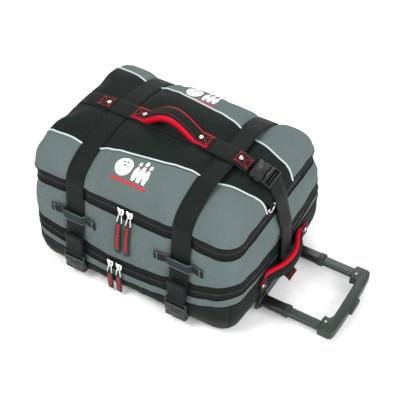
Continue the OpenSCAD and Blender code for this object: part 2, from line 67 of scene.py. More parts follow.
class Shader:
    """A Principled material that is built up from procedural layers."""

    def __init__(self, name, colour, rough, metallic=0.0, sheen=0.0, coat=0.0, specular=0.5):
        self.material = bpy.data.materials.new(name)
        self.material.use_nodes = True
        self.nodes = self.material.node_tree.nodes
        self.links = self.material.node_tree.links
        self.main = self.nodes["Principled BSDF"]
        self.colour = (*colour, 1.0)
        self.main.inputs["Base Color"].default_value = self.colour
        self.main.inputs["Roughness"].default_value = rough
        self.main.inputs["Metallic"].default_value = metallic
        self.main.inputs["Sheen Weight"].default_value = sheen
        self.main.inputs["Sheen Roughness"].default_value = 0.4
        self.main.inputs["Coat Weight"].default_value = coat
        self.main.inputs["Specular IOR Level"].default_value = specular
        self.rough = rough
        self.place = self.nodes.new("ShaderNodeTexCoord").outputs["Object"]
        self.normal = None

    def turned(self, angles):
        """Object coordinates, turned by angles."""
        node = self.nodes.new("ShaderNodeMapping")
        node.inputs["Rotation"].default_value = angles
        self.links.new(self.place, node.inputs["Vector"])
        return node.outputs["Vector"]

    def noise(self, scale, detail=3.0, place=None):
        node = self.nodes.new("ShaderNodeTexNoise")
        node.inputs["Scale"].default_value = scale
        node.inputs["Detail"].default_value = detail
        self.links.new(place or self.place, node.inputs["Vector"])
        return node.outputs["Fac"]

    def wave(self, scale, direction="X", place=None, distortion=0.0):
        node = self.nodes.new("ShaderNodeTexWave")
        node.bands_direction = direction
        node.inputs["Scale"].default_value = scale
        node.inputs["Distortion"].default_value = distortion
        self.links.new(place or self.place, node.inputs["Vector"])
        return node.outputs["Fac"]

    def maths(self, kind, a, b):
        node = self.nodes.new("ShaderNodeMath")
        node.operation = kind
        for socket, value in zip(node.inputs, (a, b)):
            if isinstance(value, (int, float)):
                socket.default_value = value
            else:
                self.links.new(value, socket)
        return node.outputs[0]

    def span(self, factor, low, high):
        """factor from 0 to 1, moved to low to high."""
        node = self.nodes.new("ShaderNodeMapRange")
        node.inputs["To Min"].default_value = low
        node.inputs["To Max"].default_value = high
        self.links.new(factor, node.inputs["Value"])
        return node.outputs["Result"]

    def tint(self, factor, low, high):
        """Colours the surface from low to high times its own colour by factor."""
        node = self.nodes.new("ShaderNodeMix")
        node.data_type = "RGBA"
        node.inputs["A"].default_value = (*[c * low for c in self.colour[:3]], 1)
        node.inputs["B"].default_value = (*[c * high for c in self.colour[:3]], 1)
        self.links.new(factor, node.inputs["Factor"])
        self.links.new(node.outputs["Result"], self.main.inputs["Base Color"])

    def wear(self, factor, spread):
        self.links.new(self.span(factor, self.rough - spread, self.rough + spread),
                       self.main.inputs["Roughness"])

    def bump(self, height, depth, strength=1.0):
        node = self.nodes.new("ShaderNodeBump")
        node.inputs["Strength"].default_value = strength
        node.inputs["Distance"].default_value = depth
        self.links.new(height, node.inputs["Height"])
        if self.normal:
            self.links.new(self.normal, node.inputs["Normal"])
        self.normal = node.outputs["Normal"]
        self.links.new(self.normal, self.main.inputs["Normal"])


def woven(name, colour, pitch, depth, rib=0.0, sheen=0.03, rough=0.8, mottle=0.12):
    """Cloth: crossed yarns of the given pitch, a rib if asked for, soft mottling and rumples."""
    s = Shader(name, colour, rough, sheen=sheen, specular=0.1)
    scale = 1 / pitch / 3.18
    turned = s.turned((0.5, 0.35, 0.6))
    yarns = s.maths("MULTIPLY", s.wave(scale, "X", turned), s.wave(scale, "Y", turned))
    large = s.noise(9, 4)
    if rib:
        lines = s.wave(1 / rib / 3.18, "Y", s.turned((0.0, 0.0, 0.12)), 0.3)
        mixed = s.maths("ADD", s.maths("MULTIPLY", lines, 0.3), s.maths("MULTIPLY", large, 0.7))
        s.tint(mixed, 1 - mottle, 1 + mottle)
        s.bump(lines, depth * 1.5, 0.5)
    else:
        mixed = s.maths("ADD", s.maths("MULTIPLY", yarns, 0.4), s.maths("MULTIPLY", large, 0.6))
        s.tint(mixed, 1 - mottle, 1 + mottle)
    s.wear(s.noise(60, 2), 0.06)
    s.bump(s.noise(11, 4), 0.005, 0.35)
    s.bump(s.noise(34, 3), 0.0014, 0.45)
    s.bump(yarns, depth, 0.6)
    return s.material


def moulded(name, colour, rough, grain=900, depth=0.0001, coat=0.0, metallic=0.0, specular=0.5):
    """Plastic, rubber or painted metal with a fine grain and rubbed patches."""
    s = Shader(name, colour, rough, metallic=metallic, coat=coat, specular=specular)
    s.tint(s.noise(30, 3), 0.9, 1.12)
    s.wear(s.noise(45, 4), 0.07)
    s.bump(s.noise(grain, 2), depth, 0.6)
    return s.material


BLACK = woven("black_cloth", (0.0062, 0.0100, 0.0086), 0.0011, 0.00018, rough=0.7)
GREY = woven("grey_cloth", (0.092, 0.122, 0.119), 0.0012, 0.0002, rib=0.0034, sheen=0.05, mottle=0.12)
LINING = woven("lining", (0.02, 0.024, 0.023), 0.0012, 0.0001)
TAPE = woven("zip_tape", (0.0065, 0.0082, 0.0078), 0.0016, 0.0003, rib=0.0028)
WEBBING = woven("webbing", (0.0058, 0.0088, 0.0074), 0.0022, 0.0004, rough=0.6)
LOOP = woven("loop_webbing", (0.012, 0.024, 0.025), 0.0022, 0.0004, rough=0.6)
BINDING = woven("binding", (0.005, 0.006, 0.0058), 0.001, 0.0002)
RED = woven("red_webbing", (0.50, 0.0032, 0.019), 0.002, 0.0003, sheen=0.0, rough=0.6, mottle=0.06)
# Piping cord: its pale colour is a painted highlight
PIPING_PAINTED_HIGHLIGHT = woven("piping", (0.46, 0.53, 0.52), 0.0016, 0.0002, sheen=0.0, rough=0.42, mottle=0.05)
THREAD_RED = woven("red_thread", (0.6, 0.012, 0.03), 0.0006, 0.0001, rough=0.5)
THREAD_PALE = woven("pale_thread", (0.62, 0.58, 0.56), 0.0006, 0.0001, rough=0.5)
# Dark brown thread: real on the strap tails' hems, and painted shade on the lid's corner seams
THREAD_DARK_AND_SHADE = woven("dark_thread", (0.11, 0.045, 0.04), 0.0006, 0.0001, rough=0.5)
EMBLEM = woven("emblem_thread", (0.86, 0.87, 0.86), 0.0012, 0.0002, rough=0.5, mottle=0.04)
QUILT = woven("divider_cloth", (0.02, 0.024, 0.023), 0.0012, 0.0002)
BUCKLE = moulded("buckle_plastic", (0.007, 0.009, 0.0085), 0.33, 600, 0.00006, coat=0.05, specular=0.35)
PLASTIC = moulded("dark_plastic", (0.013, 0.025, 0.019), 0.42, 500, 0.00012, specular=0.35)
COIL = moulded("zip_coil", (0.013, 0.015, 0.0145), 0.4, specular=0.3)
RUBBER = moulded("pull_rubber", (0.009, 0.0095, 0.0095), 0.5, specular=0.3)
RED_PLASTIC = moulded("red_plastic", (0.40, 0.006, 0.018), 0.45, specular=0.2)
GRIP_BUTTON = moulded("button_plastic", (0.019, 0.03, 0.026), 0.38, specular=0.35)
CHROME = moulded("bright_metal", (0.78, 0.79, 0.76), 0.17, 300, 0.00002, metallic=1.0)
STEEL = moulded("steel", (0.5, 0.5, 0.49), 0.34, 700, 0.00005, metallic=1.0)
TUBE_BLACK = moulded("tube_black", (0.006, 0.008, 0.0075), 0.3, 900, 0.00003, coat=0.1, specular=0.35)
TUBE_DARK = moulded("tube_dark", (0.015, 0.028, 0.022), 0.33, 900, 0.00003, coat=0.1, specular=0.35)
BOARD = moulded("board", (0.03, 0.03, 0.03), 0.6)
FOAM = woven("foam", (0.035, 0.037, 0.037), 0.002, 0.0004, rough=0.95)
TYRE = moulded("wheel_tyre", (0.014, 0.014, 0.014), 0.55, 300, 0.0003)

# ---- building blocks -----------------------------------------------------------------------------


def mesh_object(name, verts, faces, materials, smooth=True):
    mesh = bpy.data.meshes.new(name)
    mesh.from_pydata([tuple(map(float, v)) for v in verts], [], [tuple(map(int, f)) for f in faces])
    for m in materials if isinstance(materials, (list, tuple)) else [materials]:
        mesh.materials.append(m)
    mesh.polygons.foreach_set("use_smooth", [smooth] * len(mesh.polygons))
    mesh.update()
    obj = bpy.data.objects.new(name, mesh)
    scene.collection.objects.link(obj)
    return obj


def apply_modifiers(obj):
    bpy.context.view_layer.update()
    done = bpy.data.meshes.new_from_object(obj.evaluated_get(bpy.context.evaluated_depsgraph_get()))
    obj.modifiers.clear()
    obj.data = done
    return obj


def join(name, parts):
    """One object from several, which keep their materials."""
    verts, faces, slots, marks, smooth = [], [], [], [], []
    for part in parts:
        base = len(verts)
        verts += [part.matrix_world @ v.co for v in part.data.vertices]
        for m in part.data.materials:
            if m not in slots:
                slots.append(m)
        for p in part.data.polygons:
            faces.append([base + v for v in p.vertices])
            marks.append(slots.index(part.data.materials[p.material_index]))
            smooth.append(p.use_smooth)
    whole = mesh_object(name, verts, faces, slots)
    whole.data.polygons.foreach_set("material_index", marks)
    whole.data.polygons.foreach_set("use_smooth", smooth)
    for part in parts:
        bpy.data.objects.remove(part)
    return whole


def sharp_by_angle(obj, degrees=35):
    """Smooth shading, with an edge wherever faces meet at more than an angle."""
    obj.data.polygons.foreach_set("use_smooth", [True] * len(obj.data.polygons))
    obj.data.set_sharp_from_angle(angle=math.radians(degrees))
    return obj


def dress(obj, slot, body, *nodes):
    """Attaches a piece to the body that it rides on and hides the frame's nodes that it stands for; slot, the
    piece's finish, is not used.
    """
    if nodes:
        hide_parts(*nodes)
    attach(obj, body)
    return obj


def frames_along(points, closed=False, across=None):
    """Unit tangents, across vectors and normals along a line."""
    points = np.asarray(points, float)
    ahead = np.roll(points, -1, 0) - np.roll(points, 1, 0)
    if not closed:
        ahead[0], ahead[-1] = points[1] - points[0], points[-1] - points[-2]
    ahead /= np.linalg.norm(ahead, axis=1)[:, None] + 1e-12
    if across is None:
        side = np.cross(ahead[0], (0.31, 0.2, 0.93))
        rows = []
        for t in ahead:
            side = side - t * (side @ t)
            side /= np.linalg.norm(side)
            rows.append(side)
        across = np.array(rows)
    else:
        across = np.broadcast_to(np.asarray(across, float), points.shape)
        across = across - ahead * np.sum(across * ahead, 1)[:, None]
        across /= np.linalg.norm(across, axis=1)[:, None] + 1e-12
    return ahead, across, np.cross(ahead, across)


def swept(name, points, section, material, closed=False, across=None):
    """A section of (across, normal) pairs, one for all or one for each point, swept along points."""
    points = np.asarray(points, float)
    _, side, up = frames_along(points, closed, across)
    section = np.asarray(section, float)
    if section.ndim == 2:
        section = np.broadcast_to(section, (len(points), *section.shape))
    verts = points[:, None] + side[:, None] * section[:, :, :1] + up[:, None] * section[:, :, 1:2]
    n, k = section.shape[:2]
    faces = []
    for i in range(n if closed else n - 1):
        for j in range(k):
            a, b = i * k, ((i + 1) % n) * k
            faces.append((a + j, a + (j + 1) % k, b + (j + 1) % k, b + j))
    if not closed:
        faces += [tuple(range(k))[::-1], tuple((n - 1) * k + j for j in range(k))]
    return mesh_object(name, verts.reshape(-1, 3), faces, material)


def circle(radius, sides=8):
    return [(radius * math.cos(a), radius * math.sin(a)) for a in np.arange(sides) * 2 * math.pi / sides]


def strip_section(width, thick):
    """Webbing seen from its cut end: flat, with soft edges and a slightly crowned face."""
    w, t = width / 2, thick / 2
    half = [(-w, 0.0), (-w + t * 0.6, t * 0.9), (-w * 0.6, t), (0.0, t * 1.15), (w * 0.6, t),
            (w - t * 0.6, t * 0.9), (w, 0.0)]
    return half + [(x, -y) for x, y in half[-2:0:-1]]


def smooth_line(points, step, closed=False):
    """Points every step along a Catmull-Rom curve through points."""
    p = np.asarray(points, float)
    p = np.vstack([p[-1], p, p[0], p[1]]) if closed else np.vstack([2 * p[0] - p[1], p, 2 * p[-1] - p[-2]])
    t = np.linspace(0, 1, 9)[:-1, None]
    out = []
    for a, b, c, d in zip(p[:-3], p[1:-2], p[2:-1], p[3:]):
        out.append(0.5 * (2 * b + (c - a) * t + (2 * a - 5 * b + 4 * c - d) * t**2
                          + (3 * b - a - 3 * c + d) * t**3))
    out = np.vstack(out + ([] if closed else [p[-2][None]]))
    if closed:
        out = np.vstack([out, out[:1]])
    return resample(out, step)[: -1 if closed else None]


def resample(points, step):
    points = np.asarray(points, float)
    run = np.concatenate([[0], np.cumsum(np.linalg.norm(np.diff(points, axis=0), axis=1))])
    s = np.linspace(0, run[-1], max(2, int(round(run[-1] / step)) + 1))
    return np.stack([np.interp(s, run, points[:, k]) for k in range(points.shape[1])], 1)


def stitches(name, lines, material, length=0.0026, pitch=0.0042, width=0.0007, height=0.0007):
    """Raised thread dashes. Each line is (points, surface normal or normals)."""
    parts_v, parts_f = [], []
    for points, normal in lines:
        spots = resample(points, pitch)
        normals = np.broadcast_to(np.asarray(normal, float), spots.shape) if np.ndim(normal) == 1 else None
        if normals is None:
            source = np.asarray(points, float)
            nearest = [int(np.argmin(np.linalg.norm(source - s, axis=1))) for s in spots]
            normals = np.asarray(normal, float)[nearest]
        ahead, _, _ = frames_along(spots)
        for c, t, n in zip(spots, ahead, normals):
            s = np.cross(t, n)
            s /= np.linalg.norm(s) + 1e-12
            base = len(parts_v)
            for u, lift in ((-0.5, 0.0), (-0.3, 0.8), (0.3, 0.8), (0.5, 0.0)):
                for v in (-0.5, 0.5):
                    parts_v.append(c + t * length * u + s * width * v * (1 if lift else 0.6)
                                   + n * height * lift)
            for i in range(3):
                a = base + 2 * i
                parts_f.append((a, a + 1, a + 3, a + 2))
    return mesh_object(name, parts_v, parts_f, material)


def plate(name, outline, y0, y1, material, bevel=0.0015):
    """An outline in X and Z, made solid from y0 to y1 with rounded edges."""
    n = len(outline)
    verts = [(x, y0, z) for x, z in outline] + [(x, y1, z) for x, z in outline]
    faces = [tuple(range(n)), tuple(range(2 * n - 1, n - 1, -1))]
    faces += [(i, n + i, n + (i + 1) % n, (i + 1) % n) for i in range(n)]
    obj = mesh_object(name, verts, faces, material)
    bm = bmesh.new()
    bm.from_mesh(obj.data)
    bmesh.ops.recalc_face_normals(bm, faces=bm.faces)
    bm.to_mesh(obj.data)
    bm.free()
    if bevel:
        mod = obj.modifiers.new("bevel", "BEVEL")
        mod.width, mod.segments = bevel, 3
        mod.limit_method, mod.angle_limit = "ANGLE", math.radians(40)
        apply_modifiers(obj)
    return sharp_by_angle(obj)


def slab(name, low, high, material, bevel=0.001):
    (x0, y0, z0), (x1, y1, z1) = low, high
    return plate(name, [(x0, z0), (x1, z0), (x1, z1), (x0, z1)], y0, y1, material, bevel)


def move(obj, matrix):
    obj.data.transform(matrix)
    obj.data.update()
    return obj

# ---- sizes, read from the frame ------------------------------------------------------------------

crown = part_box("lid_panel_centre")[1].z
joints = {j["name"]: j for j in frame["joints"]}
lid_turn = Vector(joints["lid_fold"]["pos_m"])
low_turn = Vector(joints["upper_section_fold"]["pos_m"])
strap_x = [sum(p.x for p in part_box(f"strap_end_{k}")) / 2 for k in "ab"]
upper_zip = lid_turn.z
web_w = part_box("long_strap")[1].y * 2
buckle_y = sum(p.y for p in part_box("buckle_plug_a")) / 2

# Lower zip: an arc seen from the side, as in the frame, that dips at the handle end
arc_x, arc_low, arc_r = -0.040, 0.097, 0.760
# Levels from the ground to the lid's shoulder: half width, handle end, wheel end
LEVELS = np.array([0, 0.5, 1, 2, 3, 4, 4.5, 5, 6, 7, 8])
HALF_WIDTH = [0.2160, 0.2275, 0.2290, 0.2280, 0.2262, 0.2225, 0.2185, 0.2100, 0.2065, 0.2095, 0.2070]
HANDLE_END = [0.2660, 0.2795, 0.2810, 0.2805, 0.2795, 0.2780, 0.2755, 0.2665, 0.2640, 0.2665, 0.2630]
WHEEL_END = [0.2415, 0.2790, 0.2810, 0.2825, 0.2830, 0.2835, 0.2840, 0.2830, 0.2815, 0.2845, 0.2820]
STEPS = [7, 3, 2, 2, 11, 2, 2, 2]
BANDS = ["base", "lower", "zip_ab", "zip_at", "mid", "zip_bb", "zip_bt", "near", "centre", "far", "under"]
NX, NY, PIPE = 48, 38, 9
SIDE = 2 * (NX + NY)
wheel_corner, handle_corner, edge_r = 0.030, 0.046, 0.022
tape = 0.018


def ease(t):
    t = np.clip(t, 0, 1)
    return t * t * (3 - 2 * t)


def zip_height(x, y):
    on_end = ease((x - 0.262) / 0.018)
    rise = 0.008 * ease((x - 0.12) / 0.15)
    dip = 0.036 * np.clip(1 - (y / 0.215) ** 2, 0, 1) * on_end
    return arc_low + arc_r - np.sqrt(arc_r**2 - (x - arc_x) ** 2) + rise - dip


def black_height(x, y):
    z = zip_height(x, y)
    on_end = ease((x - 0.270) / 0.010)
    return (z - 0.042) * (1 - on_end) + np.minimum(z - 0.020, 0.127) * on_end


def pipe_y(x):
    """Distance of the lid's piping from the middle line."""
    t = np.clip((np.asarray(x, float) + 0.284) / 0.548, 0, 1)
    return 0.139 - 0.077 * t**1.6


def lid_height(x, y):
    """The lid's crowned surface, with the dents that the webbing presses into it."""
    ax = np.maximum((x + 0.070) ** 2 / 1.92 - 0.006, 0) * np.where(x < -0.07, 0.9, 1.0)
    ay = np.abs(y) ** 2.3 / 0.50
    z = crown + 0.002 - (ax**4 + ay**4) ** 0.25
    inner = ease((0.206 - np.abs(y)) / 0.05)
    for sx in strap_x:
        z = z - (0.003 + 0.008 * (1 - inner * 0.6)) * np.exp(-(((x - sx) / 0.032) ** 4))
    between = ease((x - strap_x[0]) / 0.09) * ease((strap_x[1] - x) / 0.09)
    beyond = ease((x - strap_x[1] - 0.02) / 0.04) + ease((strap_x[0] - 0.02 - x) / 0.04)
    z = z + (0.008 * between + 0.006 * beyond) * np.exp(-(((np.abs(y) - 0.14) / 0.06) ** 2))
    return z - 0.002 * np.exp(-((y / 0.034) ** 4))


def ring_xy(level, inset=0.0):
    """One closed row of points round the bag, starting at the near corner of the wheel end."""
    hy = np.interp(level, LEVELS, HALF_WIDTH) - inset
    xh = np.interp(level, LEVELS, HANDLE_END) - inset
    xw = np.interp(level, LEVELS, WHEEL_END) - inset
    rw, rh = max(wheel_corner - inset, 0.008), max(handle_corner - inset, 0.012)
    arc = [math.radians(a) for a in (0, 22.5, 45)]

    def bend(end, side, start, turns):
        rc = rh if end > 0 else rw
        cx, cy = (xh - rh if end > 0 else rw - xw), side * (hy - rc)
        return [(cx + rc * math.cos(math.radians(start) + a), cy + rc * math.sin(math.radians(start) + a))
                for a in turns]

    def end_line(px, rc):
        return np.interp(range(2, NY - 1), [2, PIPE, NY - PIPE, NY - 2], [-(hy - rc), -px, px, hy - rc])

    xs = np.linspace(rw - xw, xh - rh, NX - 3)
    near = bend(-1, -1, 225, arc[:2]) + [(x, -hy) for x in xs] + bend(1, -1, 270, arc[1:2])
    handle_end = [(xh, y) for y in end_line(float(pipe_y(xh)), rh)]
    handle = bend(1, -1, 315, arc[:2]) + handle_end + bend(1, 1, 0, arc[1:2])
    far_side = bend(1, 1, 45, arc[:2]) + [(x, hy) for x in xs[::-1]] + bend(-1, 1, 90, arc[1:2])
    wheel_end = [(-xw, y) for y in end_line(float(pipe_y(-xw)), rw)[::-1]]
    wheel = bend(-1, 1, 135, arc[:2]) + wheel_end + bend(-1, -1, 180, arc[1:2])
    row = np.array(near + handle + far_side + wheel)
    pinch = 0.005 * np.interp(level, [1.5, 2, 4.5], [0, 0.5, 1])
    for sx in strap_x:
        strapped = np.exp(-(((row[:, 0] - sx) / 0.034) ** 4)) * (np.abs(row[:, 1]) > 0.14)
        row[:, 1] -= np.sign(row[:, 1]) * pinch * strapped
    return row


def fill_grid(ring, heights, power):
    """Points inside a closed row: a net between its four sides."""
    near, handle = ring[: NX + 1], ring[NX : NX + NY + 1]
    far_side, wheel = ring[NX + NY : 2 * NX + NY + 1][::-1], np.vstack([ring[2 * NX + NY :], ring[:1]])[::-1]
    points = np.zeros((NX + 1, NY + 1, 3))
    for i in range(NX + 1):
        u = (near[i, 0] - near[0, 0]) / (near[-1, 0] - near[0, 0])
        g = u**power
        for j in range(NY + 1):
            v = j / NY
            base = (1 - v) * near[i, :2] + v * far_side[i, :2]
            ends = np.array([(1 - u) * wheel[j, 0] + u * handle[j, 0], (1 - g) * wheel[j, 1]
                             + g * handle[j, 1]])
            along = np.array([u, g])
            near_corner = (1 - along) * near[0, :2] + along * near[-1, :2]
            far_corner = (1 - along) * far_side[0, :2] + along * far_side[-1, :2]
            xy = base + ends - ((1 - v) * near_corner + v * far_corner)
            points[i, j] = (*xy, heights(*xy))
    return points


def ring_index(i, j, row):
    """Number of the point of a row that a net's border point i, j is."""
    if j == 0:
        c = i
    elif i == NX:
        c = NX + j
    elif j == NY:
        c = NX + NY + (NX - i)
    else:
        c = (2 * NX + NY + (NY - j)) % SIDE
    return row * SIDE + c % SIDE


def build_shell():
    rows, marks, levels = [], [], []
    for band, steps in enumerate(STEPS):
        for k in range(steps + (band == len(STEPS) - 1)):
            levels.append(band + k / steps)
    for level in levels:
        xy = ring_xy(level)
        x, y = xy[:, 0], xy[:, 1]
        z3 = zip_height(x, y)
        shoulder = np.maximum(lid_height(x, y) - edge_r, upper_zip + tape + 0.006)
        heights = [0 * z3 + 0.016, black_height(x, y), z3 - tape, z3, z3 + tape, 0 * z3 + upper_zip - tape,
                   0 * z3 + upper_zip, 0 * z3 + upper_zip + tape, shoulder]
        k = min(int(level), len(heights) - 2)
        z = heights[k] + (heights[k + 1] - heights[k]) * (level - k)
        rows.append(np.column_stack([x, y, z]))
    top_row = len(rows) - 1
    for turn in (22.5, 45, 67.5, 90):
        inset = edge_r * (1 - math.cos(math.radians(turn)))
        xy = ring_xy(8, inset)
        outer = rows[top_row]
        z = outer[:, 2] + (lid_height(xy[:, 0], xy[:, 1]) - outer[:, 2]) * math.sin(math.radians(turn))
        rows.append(np.column_stack([xy, z]))
    verts = [tuple(p) for row in rows for p in row]
    faces = []

    def panel(c):
        if NX + PIPE <= c < NX + NY - PIPE or 2 * NX + NY + PIPE <= c < SIDE - PIPE:
            return BANDS.index("centre")
        return BANDS.index("near" if c < NX + NY / 2 or c >= 2 * NX + 1.5 * NY else "far")

    bands_of_rows = sum([[b] * s for b, s in enumerate(STEPS)], []) + [7] * 4
    for r, band in enumerate(bands_of_rows):
        for c in range(SIDE):
            d = (c + 1) % SIDE
            faces.append((r * SIDE + c, r * SIDE + d, (r + 1) * SIDE + d, (r + 1) * SIDE + c))
            marks.append(panel(c) if band == 7 else band)
    for row, heights, power, flip in ((len(rows) - 1, lid_height, 1.6, False),
                                      (0, lambda x, y: 0.013, 1.0, True)):
        grid = fill_grid(rows[row], heights, power)
        number = np.zeros((NX + 1, NY + 1), int)
        for i in range(NX + 1):
            for j in range(NY + 1):
                if i in (0, NX) or j in (0, NY):
                    number[i, j] = ring_index(i, j, row)
                else:
                    number[i, j] = len(verts)
                    verts.append(tuple(grid[i, j]))
        for i in range(NX):
            for j in range(NY):
                quad = (number[i, j], number[i + 1, j], number[i + 1, j + 1], number[i, j + 1])
                faces.append(quad[::-1] if flip else quad)
                inside = "centre" if PIPE <= j < NY - PIPE else ("near" if j < PIPE else "far")
                marks.append(BANDS.index("under" if flip else inside))
    return np.array(verts), faces, marks, levels, len(rows)


verts, faces, marks, levels, row_count = build_shell()
shell = mesh_object("shell", verts, faces, [bpy.data.materials.new(f"band_{b}") for b in BANDS])
shell.data.polygons.foreach_set("material_index", marks)


def held_still(v):
    """How firmly the shell is held at a point: by the base board, the zips, the piping and the webbing."""
    x, y, z = v
    if z < 0.022:
        return 1.0
    z3 = float(zip_height(x, y))
    hold = max(math.exp(-(((z - z3) / 0.020) ** 2)), math.exp(-(((z - upper_zip) / 0.020) ** 2)))
    for sx in strap_x:
        if z > 0.18 or y > 0:
            hold = max(hold, math.exp(-((max(abs(x - sx) - 0.022, 0) / 0.010) ** 2)))
    if z > upper_zip + 0.03:
        hold = max(hold, 0.35 * math.exp(-(((abs(y) - float(pipe_y(x))) / 0.010) ** 2)))
        hold = max(hold, math.exp(-((max(abs(y) - 0.022, 0) / 0.010) ** 2)))
    return max(hold, 0.25 * math.exp(-(((z - float(black_height(x, y))) / 0.006) ** 2)))


def blow_up(obj, pressure, slack, cap, frames=20):
    """Cloth run: held points stay, the rest fills out and wrinkles, and none moves further than cap."""
    rest = np.array([v.co for v in obj.data.vertices])
    group = obj.vertex_groups.new(name="held")
    for i, v in enumerate(rest):
        weight = held_still(v)
        if weight > 0.02:
            group.add([i], weight, "REPLACE")
    mod = obj.modifiers.new("cloth", "CLOTH")
    s = mod.settings
    s.quality, s.mass = 6, 0.25
    s.tension_stiffness = s.compression_stiffness = 22
    s.shear_stiffness, s.bending_stiffness = 8, 0.35
    s.tension_damping = s.compression_damping = s.shear_damping = 12
    s.air_damping = 2
    s.vertex_group_mass, s.pin_stiffness = "held", 3
    s.use_pressure, s.uniform_pressure_force = True, pressure
    s.shrink_min = -slack
    s.effector_weights.gravity = 0
    mod.point_cache.frame_start, mod.point_cache.frame_end = 1, frames
    scene.frame_start, scene.frame_end = 1, frames
    for f in range(1, frames + 1):
        scene.frame_set(f)
    done = obj.evaluated_get(bpy.context.evaluated_depsgraph_get()).data
    now = np.array([v.co for v in done.vertices])
    obj.modifiers.clear()
    obj.vertex_groups.clear()
    scene.frame_set(1)
    shift = now - rest
    edges = np.array([e.vertices for e in obj.data.edges])
    count = np.bincount(edges.ravel(), minlength=len(rest))[:, None]
    for _ in range(2):
        beside = np.zeros_like(shift)
        np.add.at(beside, edges[:, 0], shift[edges[:, 1]])
        np.add.at(beside, edges[:, 1], shift[edges[:, 0]])
        shift = (shift + beside / count) / 2
    far_moved = np.linalg.norm(shift, axis=1)[:, None]
    shift *= np.minimum(1, cap * np.tanh(far_moved / cap) / np.maximum(far_moved, 1e-9))
    obj.data.vertices.foreach_set("co", (rest + shift).ravel())
    obj.data.update()


blow_up(shell, pressure=5.0, slack=0.045, cap=0.012)
sub = shell.modifiers.new("sub", "SUBSURF")
sub.levels = sub.render_levels = 1
sub.boundary_smooth = "PRESERVE_CORNERS"
apply_modifiers(shell)
smooth_co = np.array([v.co for v in shell.data.vertices])
tree = BVHTree.FromPolygons([tuple(v) for v in smooth_co], [tuple(p.vertices) for p in shell.data.polygons])
rows = smooth_co[: row_count * SIDE].reshape(row_count, SIDE, 3)


def near_wall(x, z):
    """How far out the near side's surface is."""
    return tree.ray_cast(Vector((x, -0.6, z)), Vector((0, 1, 0)))[0].y


lid_start = int(np.argmin([abs(v - 7) for v in levels]))  # row along the top edge of the upper zip


def row_at(level):
    return rows[int(np.argmin([abs(v - level) for v in levels]))]


def shell_piece(name, band, material, body, nodes, slot, thick=0.0025):
    """One band of the shell as its own piece with a turned-in edge and a lining."""
    chosen = [p for p in shell.data.polygons if p.material_index in [BANDS.index(b) for b in band]]
    used = sorted({v for p in chosen for v in p.vertices})
    number = {v: k for k, v in enumerate(used)}
    piece = mesh_object(name, smooth_co[used], [[number[v] for v in p.vertices] for p in chosen],
                        [material, LINING])
    solid = piece.modifiers.new("solid", "SOLIDIFY")
    solid.thickness, solid.offset, solid.material_offset, solid.material_offset_rim = thick, -1, 1, 0
    solid.use_even_offset = True
    apply_modifiers(piece)
    sharp_by_angle(piece, 60)
    return dress(piece, slot, body, *nodes)


base_shell = shell_piece("base_shell", ["base", "under"], BLACK, "base", ["base_tub"], "black_fabric", 0.003)
wheel_low, wheel_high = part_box("wheel_near")
for side in (-1, 1):
    y0, y1 = sorted((side * (-wheel_high.y - 0.004), side * (-wheel_low.y + 0.004)))
    well = slab("well", (-0.32, y0, -0.02), (wheel_high.x + 0.004, y1, wheel_high.z + 0.004), PLASTIC, 0.0)
    cut = base_shell.modifiers.new("well", "BOOLEAN")
    cut.operation, cut.object, cut.solver = "DIFFERENCE", well, "EXACT"
    apply_modifiers(base_shell)
    bpy.data.objects.remove(well)
for name, band, material, body, nodes, slot, thick in (
    ("lower_side", "lower", GREY, "base", ["lower_band"], "grey_fabric", 0.0025),
    ("lower_zip_lower_half", "zip_ab", TAPE, "base", ["lower_zip_bottom_tape"], "zip_tape", 0.002),
    ("lower_zip_upper_half", "zip_at", TAPE, "upper_section", ["lower_zip_top_tape", "lower_seam_cord"],
     "zip_tape", 0.002),
    ("middle_side", "mid", GREY, "upper_section", ["mid_band"], "grey_fabric", 0.003),
    ("upper_zip_lower_half", "zip_bb", TAPE, "upper_section", ["upper_zip_bottom_tape", "upper_seam_cord"],
     "zip_tape", 0.002),
    ("upper_zip_upper_half", "zip_bt", TAPE, "lid", ["upper_zip_top_tape"], "zip_tape", 0.002),
    ("lid_near", "near", GREY, "lid", ["lid_panel_near", "lid_gusset"], "grey_fabric", 0.0025),
    ("lid_centre", "centre", BLACK, "lid", ["lid_panel_centre"], "black_fabric", 0.0025),
    ("lid_far", "far", GREY, "lid", ["lid_panel_far"], "grey_fabric", 0.0025),
):
    shell_piece(name, [band], material, body, nodes, slot, thick)
bpy.data.objects.remove(shell)

# ---- seams, zip coils and piping -----------------------------------------------------------------


def outward(points, by):
    """Points moved off the shell by a distance along its surface normal."""
    out = []
    for p in np.asarray(points, float):
        spot, normal, _, _ = tree.find_nearest(Vector(p))
        out.append(np.array(spot + normal * by))
    return np.array(out)


def seam(name, points, radius, material, body, closed=True, lift=0.0, slot="black_fabric"):
    line = smooth_line(outward(points, lift), 0.006, closed)
    return dress(swept(name, line, circle(radius, 7), material, closed), slot, body)


for name, level, body in (
    ("base_binding", 1, "base"), ("lower_zip_binding_low", 2, "base"), ("lower_zip_binding_high", 4,
            "upper_section"),
    ("upper_zip_binding_low", 5, "upper_section"), ("upper_zip_binding_high", 7, "lid"),
):
    seam(name, row_at(level), 0.0016, BINDING, body, lift=0.0002)


